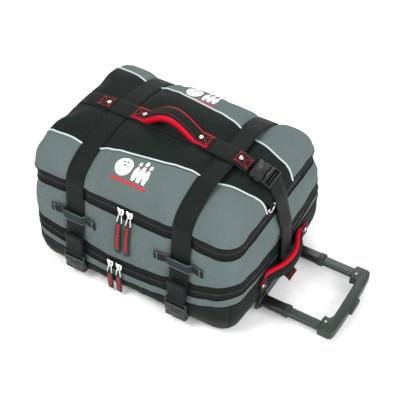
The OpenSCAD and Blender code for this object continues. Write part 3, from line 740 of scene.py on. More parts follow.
def hinge_cloth(name, low, high):
    """Cloth along the far side, where no zip runs and the halves stay joined."""
    columns = np.arange(NX + NY + 2, 2 * NX + NY - 1.5, 0.5)
    grid = []
    for level in np.linspace(low, high, 9):
        i = np.interp(level, levels, range(len(levels)))
        row = rows[int(i)] + (rows[min(int(i) + 1, row_count - 1)] - rows[int(i)]) * (i - int(i))
        grid.append(outward([row[int(c)] + (row[int(c) + 1] - row[int(c)]) * (c - int(c)) for c in columns],
                            0.0006))
    n = len(columns)
    faces_ = [(r * n + c, r * n + c + 1, r * n + n + c + 1, r * n + n + c) for r in range(8)
              for c in range(n - 1)]
    obj = mesh_object(name, np.vstack(grid), faces_, TAPE)
    solid = obj.modifiers.new("solid", "SOLIDIFY")
    solid.thickness, solid.offset = 0.0008, 0
    apply_modifiers(obj)
    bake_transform(obj)


hinge_cloth("lower_hinge_cloth", 2, 4)
hinge_cloth("upper_hinge_cloth", 5, 7)
base_rows = [i for i, v in enumerate(levels) if 0.1 < v <= 1]
for name, column in (("near_wheel", 0), ("near_handle", NX), ("far_handle", NX + NY),
                     ("far_wheel", 2 * NX + NY)):
    seam(f"base_corner_seam_{name}", rows[base_rows, column], 0.0013, BINDING, "base", closed=False,
         lift=0.0003)
# Seams up the lid's corners at the handle end, drawn in dark thread: the dark colour is painted shade for the
# notch at each corner
lid_rows = [i for i, v in enumerate(levels) if v >= 7.2]
for name, column in (("near", NX), ("far", NX + NY)):
    seam(f"lid_corner_painted_shade_seam_{name}", rows[lid_rows, column], 0.0008, THREAD_DARK_AND_SHADE, "lid", closed=False,
         slot="grey_fabric")


def coil(name, level, side, body):
    """Half of a zip's nylon coil: one turn of the coil for each tooth, along the near side and both ends."""
    row = row_at(level)
    order = np.concatenate([np.arange(2 * NX + NY + 6, SIDE), np.arange(0, NX + NY - 5)])
    line = smooth_line(outward(row[order], 0.0006), 0.0032)
    ahead, _, _ = frames_along(line)
    verts_, faces_ = [], []
    for k, (c, t) in enumerate(zip(line, ahead)):
        spot, normal, _, _ = tree.find_nearest(Vector(c))
        n = np.array(normal)
        up = np.cross(n, t)
        up /= np.linalg.norm(up)
        if up[2] < 0:
            up = -up
        base = len(verts_)
        shift = up * side * 0.0012 + t * 0.0008 * side
        for along, reach, lift in ((-1, -1, 0), (1, -1, 0), (1, 1, 0), (-1, 1, 0), (-1, -0.8, 1),
                                   (1, -0.8, 1), (1, 0.8, 1), (-1, 0.8, 1)):
            verts_.append(c + shift + t * along * (0.0011 if not lift else 0.0007) + up * reach * 0.0019
                          + n * (lift * 0.0015 - 0.0004))
        faces_ += [tuple(base + v for v in f)
                   for f in ((4, 5, 6, 7), (0, 1, 5, 4), (1, 2, 6, 5), (2, 3, 7, 6), (3, 0, 4, 7))]
    dress(mesh_object(name, verts_, faces_, COIL, smooth=False), "zip_tape", body)


coil("lower_zip_coil_low", 3, -1, "base")
coil("lower_zip_coil_high", 3, 1, "upper_section")
coil("upper_zip_coil_low", 6, -1, "upper_section")
coil("upper_zip_coil_high", 6, 1, "lid")

# Piping between the lid's panels, from the zip at one end to the zip at the other; its pale colour is a
# painted highlight along the cord
for name, sign in (("lid_piping_near", -1), ("lid_piping_far", 1)):
    span = np.linspace(-0.252, 0.236, 62)
    lay = [Vector((x, sign * float(pipe_y(x)), 0.5)) for x in span]
    over = [np.array(tree.ray_cast(p, Vector((0, 0, -1)))[0]) for p in lay]
    column_h = NX + (PIPE if sign < 0 else NY - PIPE)
    column_w = 2 * NX + NY + (NY - PIPE if sign < 0 else PIPE)
    line = list(rows[lid_start:, column_w % SIDE]) + over + list(rows[lid_start:, column_h][::-1])
    obj = seam(name, line, 0.0024, PIPING_PAINTED_HIGHLIGHT, "lid", closed=False, lift=0.0010, slot="piping")
    if sign < 0:
        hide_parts("lid_piping")

# ---- webbing -------------------------------------------------------------------------------------

WEB_T = 0.002
STRIP = strip_section(web_w, WEB_T)


def taut_line(points):
    """The points that a tight strap touches: those of a clockwise row where it bends one way only."""
    kept = []
    for p in points:
        while len(kept) > 1:
            (ax, ay), (bx, by) = kept[-2:]
            if (bx - ax) * (p[1] - by) - (by - ay) * (p[0] - bx) < 0:
                break
            kept.pop()
        kept.append(p)
    return kept


def skin_points(origin, turns, offsets, plane):
    """Furthest hits of the shell round origin in the X or Y plane, over offsets across the strap."""
    out = []
    for turn in turns:
        c, s = math.cos(turn), math.sin(turn)
        reach = 0.0
        for off in offsets:
            at = Vector(origin)
            at[0 if plane == "x" else 1] += off
            way = Vector((0, c, s)) if plane == "x" else Vector((c, 0, s))
            hit = tree.ray_cast(at, way)[0]
            if hit is not None:
                reach = max(reach, (hit - at).length)
        if reach:
            out.append(((origin[1] if plane == "x" else origin[0]) + reach * c, origin[2] + reach * s))
    return out


def raised(line, by):
    """A line in a plane, moved outwards, to the left of a clockwise walk."""
    line = np.asarray(line)
    ahead = np.gradient(line, axis=0)
    ahead /= np.linalg.norm(ahead, axis=1)[:, None] + 1e-12
    return line + np.column_stack([-ahead[:, 1], ahead[:, 0]]) * by


def strip(name, points, across, section=STRIP):
    obj = swept(name, points, section, WEBBING, across=across)
    sharp_by_angle(obj, 70)
    return obj


across_offsets = [-0.024, -0.012, 0, 0.012, 0.024]
plug_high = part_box("buckle_plug_a")[1]
strap_lines = {}
for k, sx in zip("ab", strap_x):
    turns = np.radians(np.arange(204, -48, -1.2))
    skin = [p for p in skin_points((sx, 0, 0.19), turns, across_offsets, "x") if p[0] > 0 or p[1] > 0.135]
    tight = taut_line([(buckle_y + 0.0025, plug_high.z - 0.006)] + skin)
    line = raised(resample(np.array(tight), 0.006), 0.0016)
    line = np.vstack([[buckle_y, plug_high.z - 0.022], line])
    path = np.column_stack([np.full(len(line), sx), line])
    strap_lines[k] = path
    far_part = path[:, 1] > 0
    upper = path[~far_part | (path[:, 2] > lid_turn.z + 0.002)]
    middle = path[far_part & (path[:, 2] < lid_turn.z + 0.008) & (path[:, 2] > low_turn.z + 0.012)]
    lower = path[far_part & (path[:, 2] < low_turn.z + 0.018) & (path[:, 2] > 0.014)]
    piece = strip(f"cross_strap_{k}", upper, (1, 0, 0))
    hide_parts(f"strap_end_{k}", *(["cross_straps"] if k == "a" else []))
    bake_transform(piece)
    piece = strip(f"far_strap_middle_{k}", middle, (1, 0, 0))
    if k == "a":
        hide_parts("far_straps_mid")
    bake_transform(piece)
    piece = strip(f"far_strap_lower_{k}", lower, (1, 0, 0))
    if k == "a":
        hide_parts("far_straps_base")
    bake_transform(piece)

    # Free tail of the strap, folded at its end, lying on the strap above the buckle
    near = path[(path[:, 1] < 0) & (path[:, 2] > plug_high.z - 0.012) & (path[:, 2] < plug_high.z + 0.064)]
    tail = near + np.array([0, -0.0042, 0])
    tail[:2, 1] -= 0.0022
    tail[:, 1] -= 0.0060 * ease((tail[:, 2] - plug_high.z - 0.020) / 0.044)
    fold = tail[-1] + np.array([(0, -0.0006, 0.0012), (0, -0.0022, 0.0012), (0, -0.0030, -0.0008),
                                (0, -0.0026, -0.0100)])
    tail = np.vstack([tail, fold])
    piece = strip(f"strap_tail_{k}", tail, (1, 0, 0), section=strip_section(web_w - 0.001, 0.0018))
    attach(piece, f"strap_end_{k}")
    hem = [(np.array([tail[i] + (x, -0.0012, 0) for x in np.linspace(-0.022, 0.022, 9)]),
            Vector((0, -1, 0))) for i in (len(near) - 2, len(near) - 3)]
    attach(stitches(f"tail_stitches_{k}", hem, THREAD_DARK_AND_SHADE, width=0.0011, height=0.0008), f"strap_end_{k}")

# Keepers: bands sewn to the wall either side of each strap, with pale stitching along their edges
keep_low, keep_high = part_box("strap_keepers")
keep_z, keep_w = (keep_low.z + keep_high.z) / 2, keep_high.z - keep_low.z
keeper_parts, keeper_lines = [], []
for k, sx in zip("ab", strap_x):
    strap_y = float(np.interp(-keep_z, -strap_lines[k][strap_lines[k][:, 1] < 0][::-1, 2],
                              strap_lines[k][strap_lines[k][:, 1] < 0][::-1, 1]))
    pts = []
    for off in np.linspace(-0.064, 0.064, 45):
        walls = [near_wall(sx + off, keep_z + d) for d in (-0.012, 0, 0.012)]
        over = float(ease((0.037 - abs(off)) / 0.012))
        pts.append((sx + off, (min(walls) - 0.0014) * (1 - over) + (strap_y - 0.0075) * over,
                    keep_z - 0.003 * over))
    pts = np.array(pts)
    keeper = swept(f"keeper_{k}", pts, strip_section(keep_w, 0.0017), [WEBBING, LOOP], across=(0, 0, 1))
    keeper.data.polygons.foreach_set("material_index",
                                     [int(abs(p.center.x - sx) < 0.034) for p in keeper.data.polygons])
    keeper_parts.append(keeper)
    _, side, up = frames_along(pts, across=(0, 0, 1))
    outs = -up * np.sign(up[:, 1:2] + 1e-9)
    for edge in (-0.0125, 0.0125):
        keeper_lines.append((pts + outs * 0.0010 + np.array([0, 0, edge]), outs))
    for x_off in (3, 41):
        c = pts[x_off] + outs[x_off] * 0.0011
        keeper_lines.append((np.array([c + np.array([0, 0, z]) for z in np.linspace(-0.012, 0.012, 7)]),
                             outs[x_off]))
keepers = join("strap_keepers_cloth", keeper_parts)
dress(keepers, "webbing", "upper_section", "strap_keepers")
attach(stitches("keeper_stitches", keeper_lines, THREAD_PALE), "upper_section")

# Long strap over the lid, from the seam at the wheel end to the buckle at the handle end
long_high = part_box("long_strap")[1]
over_xz = []
for x in np.linspace(-0.255, long_high.x, 84):
    hits = [tree.ray_cast(Vector((x, y, 0.6)), Vector((0, 0, -1)))[0].z
            for y in (-0.023, -0.012, 0, 0.012, 0.023)]
    z = max(hits) + 0.0016
    for k, sx in zip("ab", strap_x):
        beside = float(np.interp(0, strap_lines[k][:, 1], strap_lines[k][:, 2])) + 0.0026
        z = max(z, z + (beside - z) * float(ease((0.040 - abs(x - sx)) / 0.012)))
    over_xz.append((x, z))
over_xz = resample(np.array(taut_line(over_xz)), 0.006)
over = np.column_stack([over_xz[:, 0], 0 * over_xz[:, 0], over_xz[:, 1]])
column = rows[lid_start + 1 :, 2 * NX + NY + NY // 2]
out_by, up_by = (np.linspace(a, 1 - a, len(column))[:, None] for a in (1, 0))
down = column + np.array([(-0.0016, 0, 0)]) * out_by + np.array([(0, 0, 0.0016)]) * up_by
down[:, 1] = 0
long_path = smooth_line(np.vstack([down, over]), 0.005)
lift_end = ease((long_path[:, 0] - (long_high.x - 0.025)) / 0.025)
long_path[:, 2] += 0.004 * lift_end
long_strap = strip("long_strap_webbing", long_path, (0, 1, 0))
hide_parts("long_strap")
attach(long_strap, "lid")


def strap_spot(x):
    """Point on top of the long strap, its direction and its normal."""
    z = float(np.interp(x, long_path[:, 0], long_path[:, 2]))
    dz = float(np.interp(x + 0.01, long_path[:, 0], long_path[:, 2])) - float(np.interp(x - 0.01,
            long_path[:, 0], long_path[:, 2]))
    ahead = np.array([0.02, 0, dz])
    ahead /= np.linalg.norm(ahead)
    normal = np.array([-ahead[2], 0, ahead[0]])
    return np.array([x, 0, z]) + normal * WEB_T / 2, ahead, normal


def boxed_cross(lay, length, width):
    """Lines of a sewn box with a cross in it; lay gives the place and normal of a point of the patch."""
    corners = [np.array((u * length / 2, v * width / 2)) for u, v in ((-1, -1), (1, -1), (1, 1), (-1, 1))]
    lines = []
    for a, b in ((0, 1), (1, 2), (2, 3), (3, 0), (0, 2), (1, 3)):
        laid = [lay(*(corners[a] + (corners[b] - corners[a]) * t)) for t in np.linspace(0, 1, 9)]
        lines.append((np.array([p for p, _ in laid]), np.array([n for _, n in laid])))
    return lines


def rivet(name, centre, normal, radius, material=CHROME):
    """Domed rivet with a rolled rim."""
    profile = [(radius, 0.0), (radius, 0.0009), (radius * 0.86, 0.0016), (radius * 0.7, 0.0013),
               (radius * 0.5, 0.0021), (radius * 0.2, 0.0026)]
    turn = Vector(normal).to_track_quat("Z", "Y").to_matrix()
    verts_ = [Vector(centre) + turn @ Vector((r * math.cos(a), r * math.sin(a), h)) for r, h in profile
              for a in np.arange(16) * math.pi / 8]
    faces_ = [(16 * i + j, 16 * i + (j + 1) % 16, 16 * i + 16 + (j + 1) % 16, 16 * i + 16 + j)
              for i in range(5) for j in range(16)]
    return mesh_object(name, verts_, faces_ + [tuple(range(80, 96))], material)


patch_x = [-0.204, -0.104, 0.065, 0.169]
patch_parts, patch_lines, rivet_parts = [], [], []
for i, x in enumerate(patch_x):
    at = [strap_spot(x + d) for d in (-0.019, -0.0095, 0, 0.0095, 0.019)]
    pts = np.array([p + n * 0.0010 for p, _, n in at])
    patch_parts.append(swept(f"patch_{i}", pts, strip_section(0.040, 0.0018), BLACK, across=(0, 1, 0)))
    c, ahead, normal = at[2]
    raise_by = 0.0057 if i in (1, 2) else 0.0021

    def lay(u, v, x=x, raise_by=raise_by):
        spot, _, n = strap_spot(x + u)
        return spot + n * raise_by + np.array([0, v, 0]), n

    patch_lines += boxed_cross(lay, 0.031, 0.031)
    rivet_parts.append(rivet(f"rivet_{i}", lay((0.006, 0.008, -0.008, -0.006)[i], 0)[0], normal, 0.0054))
patches = join("handle_patches_cloth", patch_parts)
dress(patches, "black_fabric", "lid", "handle_patches")
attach(stitches("patch_stitches", patch_lines, THREAD_RED, width=0.0010, height=0.0009, length=0.0032,
                 pitch=0.0038), "lid")
dress(join("handle_rivets_metal", rivet_parts), "bright_metal", "lid", "handle_rivets")

# ---- carry handle on the lid ---------------------------------------------------------------------

carry_low, carry_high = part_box("carry_handle")
carry_c = (patch_x[1] + patch_x[2]) / 2
carry_reach = (patch_x[2] - patch_x[1]) / 2 + 0.019


def carry_line(lift):
    pts = []
    for t in np.linspace(-1, 1, 61):
        x = carry_c + t * carry_reach
        spot, _, normal = strap_spot(x)
        inner = abs(t) * carry_reach / (carry_reach - 0.034)
        arch = math.cos(min(inner, 1) * math.pi / 2) ** 1.15 * (carry_high.z - spot[2] - 0.0135)
        pts.append(spot + normal * lift + np.array([0, 0, max(arch, 0)]))
    return np.array(pts)


def pad_section(width, low, high, crown_):
    """Rounded pad section between two heights."""
    w, middle, shoulder = width / 2, (low + high) / 2, high + crown_ * 0.6
    under = [(-w, middle), (-w * 0.96, low + 0.0004), (0, low), (w * 0.96, low + 0.0004), (w, middle)]
    over_ = [(w * 0.6, shoulder), (0, high + crown_), (-w * 0.6, shoulder)]
    return under + [(w * 0.93, high - 0.0006)] + over_ + [(-w * 0.93, high - 0.0006)]


red_line = carry_line(0.0030)
fullness = ease((0.80 - np.abs(red_line[:, 0] - carry_c) / carry_reach) / 0.25)
red_sections = [pad_section(0.0430, -0.0012 - 0.0108 * f, 0.0012 + 0.0030 * f, -0.0020 * f) for f in fullness]
black_sections = [pad_section(0.0345 - 0.002 * f, 0.0010 + 0.0010 * f, 0.0022 + 0.0044 * f, 0.0014 * f)
                  for f in fullness]
carry_red = swept("carry_handle_red", red_line, red_sections, RED, across=(0, 1, 0))
carry_black = swept("carry_handle_black", red_line, black_sections, BLACK, across=(0, 1, 0))
carry_seams = []
for s in (-1, 1):
    side = [(p[0], s * 0.0128, p[2] + 0.0026 + 0.0068 * f) for p, f in zip(red_line, fullness) if f > 0.4]
    carry_seams.append((np.array(side), Vector((0, 0, 1))))
carry_stitch = stitches("carry_handle_stitches", carry_seams, THREAD_RED)
for obj, slot_name in ((carry_red, "red_webbing"), (carry_black, "black_fabric"),
                       (carry_stitch, "red_webbing")):
    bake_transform(obj)
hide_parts("carry_handle")

# ---- handle end: strap, carry handle, patches and ring -------------------------------------------

end_turns = np.radians(np.arange(96, -58, -1.2))
skin = skin_points((0.12, 0, 0.20), end_turns, across_offsets, "y")
plug_long_low, plug_long_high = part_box("long_buckle_plug")
socket_long_low, socket_long_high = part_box("long_buckle_socket")
tight = taut_line([p for p in skin if p[0] > plug_long_high.x - 0.004])
end_line_xz = raised(resample(np.array(tight), 0.005), 0.0018)
start_z = (plug_long_low.z + plug_long_high.z) / 2 - 0.002
end_line_xz = np.vstack([[plug_long_high.x - 0.010, start_z], [plug_long_high.x - 0.003, start_z - 0.0025],
                         end_line_xz[end_line_xz[:, 0] > plug_long_high.x + 0.003]])
end_line_xz = end_line_xz[end_line_xz[:, 1] > 0.052]
END_STRAP_GAP = 0.0015  # clearance of the end strap from the wall
bow = 0.004 * np.sin(np.clip((end_line_xz[:, 1] - 0.052) / 0.2, 0, 1) * math.pi)
end_path = smooth_line(np.column_stack([end_line_xz[:, 0] + bow + END_STRAP_GAP, 0 * bow,
                                        end_line_xz[:, 1]]), 0.005)
end_strap = strip("end_strap_webbing", end_path, (0, 1, 0))
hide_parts("end_strap", "end_strap_tip")
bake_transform(end_strap)
foot = end_path[-1]
tail = smooth_line([foot + d for d in ((0.0022, 0, 0.050), (0.0026, 0, 0.030), (0.0032, 0, 0.016),
                                       (0.0100, 0, 0.006), (0.0230, 0, -0.002), (0.0310, 0, -0.009))], 0.003)
tail_piece = strip("end_strap_tail", tail, (0, 1, 0), section=strip_section(0.040, 0.0022))
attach(tail_piece, "base")
last, before = tail[-1], tail[-4]
t_dir = (last - before) / np.linalg.norm(last - before)
t_norm = np.cross((0, 1, 0), t_dir) * -1
t_norm *= np.sign(t_norm[2])
hem = [(np.array([last - t_dir * d + t_norm * 0.0013 + np.array([0, y, 0]) for y in (-0.018, 0.018)]),
        t_norm) for d in (0.003, 0.008)]
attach(stitches("end_tail_stitches", hem, THREAD_RED, width=0.0011, height=0.0009), "base")

# End carry handle: a red inner roll with a black outer face
end_c_z = joints["end_handle_swing"]["pos_m"][2]
end_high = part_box("end_handle")[1].x
end_patch_low, end_patch_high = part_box("end_patches")
reach_y = end_patch_high.y - 0.004


def wall_x(y, z):
    return tree.ray_cast(Vector((0.7, y, z)), Vector((-1, 0, 0)))[0].x


def end_handle_line(lift):
    pts = []
    for t in np.linspace(-1, 1, 61):
        y = t * reach_y
        inner = abs(t) * reach_y / (reach_y - 0.034)
        wall = wall_x(y, end_c_z)
        out = math.cos(min(inner, 1) * math.pi / 2) ** 1.1 * (end_high - wall - 0.0125)
        pts.append((wall + 0.0026 + lift + max(out, 0), y, end_c_z + 0.004 * (1 - t * t)))
    return np.array(pts)


def turned_pad(*size):
    """A pad section that faces the other way."""
    return [(u, -v) for u, v in pad_section(*size)]


end_line = end_handle_line(0.001)
fullness = ease((0.84 - np.abs(end_line[:, 1]) / reach_y) / 0.24)
red_sections = [turned_pad(0.031 + 0.007 * f, -0.0012 - 0.0068 * f, 0.0010 + 0.0030 * f, 0.0)
                for f in fullness]
black_sections = [turned_pad(0.027, 0.0012 + 0.0020 * f, 0.0022 + 0.0062 * f, 0.0012 * f) for f in fullness]
end_red = swept("end_handle_red", end_line, red_sections, RED, across=(0, 0, -1))
end_black = swept("end_handle_black", end_line, black_sections, BLACK, across=(0, 0, -1))
for obj, slot_name in ((end_red, "red_webbing"), (end_black, "black_fabric")):
    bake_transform(obj)
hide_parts("end_handle")
patch_parts, red_lines, pale_lines, rivet_parts = [], [], [], []
for s in (-1, 1):
    y0 = s * (end_patch_high.y + (-end_patch_low.y)) / 2 - s * 0.019
    pts = np.array([(wall_x(y0 + d, end_c_z - 0.004) + 0.0052, y0 + d, end_c_z - 0.004)
                    for d in np.linspace(-0.019, 0.019, 7)])
    patch_parts.append(swept("end_patch", pts, strip_section(0.036, 0.0016), BLACK, across=(0, 0, 1)))
    centre = pts[3] + np.array([0.0011, 0, 0])
    lines = boxed_cross(lambda u, v, c=centre: (c + np.array([0, u, v]), np.array([1.0, 0, 0])), 0.031, 0.030)
    red_lines += lines[:4]
    pale_lines += lines[4:]
    rivet_parts.append(rivet("end_rivet", centre + np.array([0.0002, s * 0.004, 0.005]), (1, 0, 0), 0.0048))
end_patch_cloth = join("end_patches_cloth", patch_parts)
dress(end_patch_cloth, "black_fabric", "base", "end_patches")
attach(stitches("end_patch_stitches", red_lines, THREAD_RED, width=0.0010, height=0.0008), "base")
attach(stitches("end_patch_crosses", pale_lines, THREAD_PALE), "base")
dress(join("end_rivets_metal", rivet_parts), "bright_metal", "base", "end_rivets")

# ---- side-release buckles ------------------------------------------------------------------------


def buckle(name, place, socket_body, plug_body, socket_nodes, plug_nodes):
    """Socket and plug in their own frame: X across, Z from socket to plug, -Y outwards."""
    half = [(0.0255, 0.0), (0.0290, 0.0030), (0.0300, 0.0090), (0.0265, 0.0130), (0.0262, 0.0240),
            (0.0296, 0.0285), (0.0296, 0.0320), (0.0120, 0.0320), (0.0095, 0.0295)]
    outline = half + [(-x, z) for x, z in half[::-1]]
    parts = [plate("p", outline, -0.0058, 0.0058, BUCKLE, 0.0022)]
    boss = [(0.0150 * math.cos(a), 0.0165 + 0.0085 * math.sin(a))
            for a in np.linspace(0, 2 * math.pi, 28, endpoint=False)]
    parts.append(plate("p", boss, -0.0068, -0.0050, BUCKLE, 0.0007))
    parts.append(slab("p", (-0.0265, -0.0066, 0.0012), (0.0265, -0.0050, 0.0042), BUCKLE, 0.0006))
    socket = join(f"{name}_socket", [move(p, place) for p in parts])
    top = [(0.0298, 0.0535), (0.0298, 0.0560), (0.0280, 0.0580)]
    wave = [(0.0095, 0.0345), (0.0060, 0.0322), (0.0, 0.0312)]
    body = [(0.0294, 0.0332), (0.0298, 0.0425)]
    parts = [plate("p", body + [(-x, z) for x, z in body[::-1]] + [(-x, z) for x, z in wave] + wave[-2::-1],
                   -0.0060, 0.0056, BUCKLE, 0.0016)]
    parts.append(plate("p", top + [(-x, z) for x, z in top[::-1]], -0.0054, 0.0052, BUCKLE, 0.0016))
    for s in (-1, 1):
        parts.append(slab("p", (min(s * 0.0262, s * 0.0298), -0.0054, 0.0400),
                          (max(s * 0.0262, s * 0.0298), 0.0052, 0.0560), BUCKLE, 0.0010))
        prong = [(s * x, z) for x, z in ((0.0236, 0.0335), (0.0275, 0.0335), (0.0315, 0.0260),
                                         (0.0322, 0.0190), (0.0300, 0.0130), (0.0272, 0.0120),
                                         (0.0262, 0.0200))]
        parts.append(plate("p", prong, -0.0032, 0.0032, BUCKLE, 0.0009))
    parts.append(slab("p", (-0.0270, -0.0020, 0.0462), (0.0270, 0.0020, 0.0492), BUCKLE, 0.0010))
    plug = join(f"{name}_plug", [move(p, place) for p in parts])
    for obj, body_name, nodes in ((socket, socket_body, socket_nodes), (plug, plug_body, plug_nodes)):
        dress(obj, "buckle_plastic", body_name, *nodes)


socket_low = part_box("buckle_sockets")[0]
for k, sx in zip("ab", strap_x):
    buckle(f"buckle_{k}", Matrix.Translation((sx, buckle_y, socket_low.z)), "base", f"strap_end_{k}",
           ["buckle_sockets"] if k == "a" else [], [f"buckle_plug_{k}"])
ahead_xz = Vector((plug_long_high.x - socket_long_high.x, 0,
                   plug_long_high.z - socket_long_high.z)).normalized()
out_xz = Vector((-ahead_xz.z, 0, ahead_xz.x))
turn = Matrix(((0, -out_xz.x, ahead_xz.x), (-1, 0, 0), (0, -out_xz.z, ahead_xz.z))).to_4x4()
seat_x = socket_long_low.x + 0.003
seat_z = float(np.interp(seat_x, long_path[:, 0], long_path[:, 2]))
buckle("buckle_long", Matrix.Translation((seat_x, 0, seat_z + 0.0035)) @ turn, "lid", "end_strap_tip",
       ["long_buckle_socket"], ["long_buckle_plug"])
anchor_parts = []
for k, sx in zip("ab", strap_x):
    foot = [(sx, near_wall(sx, z) - 0.0016, z) for z in (0.018, 0.022)]
    pts = smooth_line(foot + [(sx, buckle_y + 0.003, 0.027), (sx, buckle_y, 0.034)], 0.003)
    anchor_parts.append(swept("anchor", pts, STRIP, WEBBING, across=(1, 0, 0)))
anchors = join("buckle_anchors_webbing", anchor_parts)
dress(anchors, "webbing", "base", "buckle_anchors")

# ---- zip sliders and pulls -----------------------------------------------------------------------


SLIDER_PROUD = 0.0012  # how far a slider's metal stands off its zip
PULL_GAP = 0.0058  # how far a pull hangs off the wall
PULL_LOWEST = 0.024  # below this height the wall is taken as upright


def slider_and_pull(which):
    slider, pull = which.replace("_", "_slider_"), which.replace("_", "_pull_")
    low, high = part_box(slider)
    x, y, z = (low.x + high.x) / 2, high.y - SLIDER_PROUD, high.z - 0.009
    shield = [(0.0078, 0.0104), (0.0092, 0.0034), (0.0070, -0.0078), (0.0040, -0.0122), (-0.0040, -0.0122),
              (-0.0070, -0.0078), (-0.0092, 0.0034), (-0.0078, 0.0104), (0, 0.0078)]
    parts = [move(plate("p", shield, -0.0042, -0.0006, CHROME, 0.0009), Matrix.Translation((x, y, z)))]
    arch = smooth_line([(x, y - 0.0036, z + 0.0060), (x, y - 0.0068, z + 0.0035),
                        (x, y - 0.0076, z - 0.0020), (x, y - 0.0066, z - 0.0085),
                        (x, y - 0.0036, z - 0.0100)], 0.0014)
    parts.append(swept("p", arch, [(u * 2.0, v) for u, v in circle(0.0014)], CHROME, across=(1, 0, 0)))
    dress(join(f"{which}_slider_metal", parts), "bright_metal", slider, slider)

    # The pull: a metal link and a rubber tab that lies against the wall
    tab_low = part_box(pull)[0]
    pin_y, pin_z = y - 0.0048, z - 0.007
    heights = np.linspace(pin_z, tab_low.z, 26)
    walls = [min(near_wall(x + d, max(h, PULL_LOWEST)) for d in (-0.007, 0.007)) - PULL_GAP for h in heights]
    lean = np.minimum(np.array(walls), pin_y - 0.0035 * ease((pin_z - heights) / 0.012))
    lean[0] = pin_y
    tight = taut_line([(-h, -v) for h, v in zip(heights, lean)])
    line = np.array([(x, -v, -h) for h, v in tight])
    line = smooth_line(resample(line, 0.006), 0.003)
    link = line[line[:, 2] > pin_z - 0.021]
    taper = np.interp(link[:, 2], [link[-1, 2], link[0, 2]], [0.0062, 0.0036])[:, None] * np.array([1, 0, 0])
    ring_pts = np.vstack([link + taper, (link - taper)[::-1]])
    metal = swept("p", smooth_line(ring_pts, 0.0022, closed=True), circle(0.0015), CHROME, closed=True)
    pin = swept("p", [(x - 0.0050, pin_y, pin_z), (x + 0.0050, pin_y, pin_z)], circle(0.0012), CHROME)
    dress(join(f"{which}_pull_link", [metal, pin]), "bright_metal", pull)
    tab = line[line[:, 2] < pin_z - 0.015]
    run = np.linspace(0, 1, len(tab))
    widths = 0.0112 + 0.0054 * ease(run / 0.25) - 0.0040 * ease((run - 0.93) / 0.07)
    sections = [strip_section(w, 0.0036) for w in widths]
    rubber = swept(f"{which}_pull_tab", tab, sections, RUBBER, across=(1, 0, 0))
    face = resample(tab[3:-2], 0.0015)
    _, side, up = frames_along(face, across=(1, 0, 0))
    face = face + up * np.sign(-up[:, 1:2]) * 0.0014
    bars = [swept("bar", face[i : i + 5], strip_section(0.0078, 0.0018), RED_PLASTIC, across=(1, 0, 0))
            for i in range(0, len(face) - 5, 6)]
    stripe = join(f"{which}_pull_bars", bars)
    dress(rubber, "pull_rubber", pull, pull)
    dress(stripe, "pull_rubber", pull)


for which in ("upper_a", "upper_b", "lower_a", "lower_b"):
    slider_and_pull(which)

# ---- ring and its loop ---------------------------------------------------------------------------

ring_c = joints["ring_swing"]["pos_m"]
ring_r = 0.014
arc_pts = [(ring_c[0], ring_c[1] + ring_r * math.cos(a), ring_c[2] - ring_r * 1.05 * math.sin(a))
           for a in np.linspace(0, math.pi, 24)]
bar_pts = [(ring_c[0], ring_c[1] + ring_r * t, ring_c[2]) for t in np.linspace(-0.94, 0.94, 12)]
ring_metal = swept("d_ring_metal", smooth_line(arc_pts + bar_pts, 0.002, closed=True), circle(0.0017, 10),
                   CHROME, closed=True)
dress(ring_metal, "bright_metal", "d_ring", "d_ring")
skin_x = [wall_x(ring_c[1], ring_c[2] + up) for up in (0.020, 0.012, -0.010)]
loop_xz = [(skin_x[0] + 0.0006, 0.020), (skin_x[1] + 0.0014, 0.012), (ring_c[0] + 0.0022, 0.0036),
           (ring_c[0] + 0.0036, 0), (ring_c[0] + 0.0010, -0.0036), (skin_x[2] + 0.0008, -0.010)]
loop_pts = smooth_line([(x, ring_c[1], ring_c[2] + up) for x, up in loop_xz], 0.002)
loop = strip("ring_loop_webbing", loop_pts, (0, 1, 0), section=strip_section(0.016, 0.0014))
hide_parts("ring_loop")
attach(loop, "lid")

# ---- telescopic handle ---------------------------------------------------------------------------

grip_low, grip_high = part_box("hand_grip")
stage_1_low, stage_1_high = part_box("stage_1_tubes")
pole_z = (stage_1_low.z + stage_1_high.z) / 2
gx0, gx1, gw = grip_low.x, grip_high.x, grip_high.y
half = [(gx1 + 0.0008, 0.0), (gx1, gw * 0.55), (gx1 - 0.0022, gw * 0.88), (gx1 - 0.0060, gw * 0.975),
        (gx1 - 0.0120, gw), (gx0 + 0.0060, gw), (gx0 + 0.0015, gw * 0.985), (gx0, gw * 0.94),
        (gx0, gw - 0.038), (gx0 + 0.0012, gw - 0.0425), (gx0 + 0.0055, gw - 0.0445),
        (gx0 + 0.0095, gw - 0.0420), (gx0 + 0.0125, gw - 0.0425), (gx0 + 0.0165, gw - 0.0480),
        (gx0 + 0.0190, gw - 0.0560), (gx0 + 0.0195, 0.030), (gx0 + 0.0195, 0)]
outline = half[:-1] + [(x, -y) for x, y in half[:0:-1]]
flat = Matrix.Rotation(math.pi / 2, 4, "X")
thick = (grip_high.z - grip_low.z) / 2
parts = []
for low, high in ((-thick, -0.0003), (0.0003, thick)):
    parts.append(move(plate("p", outline, low, high, PLASTIC, 0.0),
                      Matrix.Translation((0, 0, pole_z)) @ flat))
for part in parts:
    mod = part.modifiers.new("edge", "BEVEL")
    mod.limit_method, mod.width, mod.segments = "WEIGHT", 0.0052, 4
    weights = part.data.attributes.new("bevel_weight_edge", "FLOAT", "EDGE")
    for e in part.data.edges:
        zs = [part.data.vertices[v].co.z - pole_z for v in e.vertices]
        on_face = all(abs(abs(z) - thick) < 1e-5 for z in zs)
        on_joint = all(abs(z) < 0.001 for z in zs)
        weights.data[e.index].value = 1.0 if on_face else (0.12 if on_joint else 0.0)
    apply_modifiers(part)
    sharp_by_angle(part, 40)
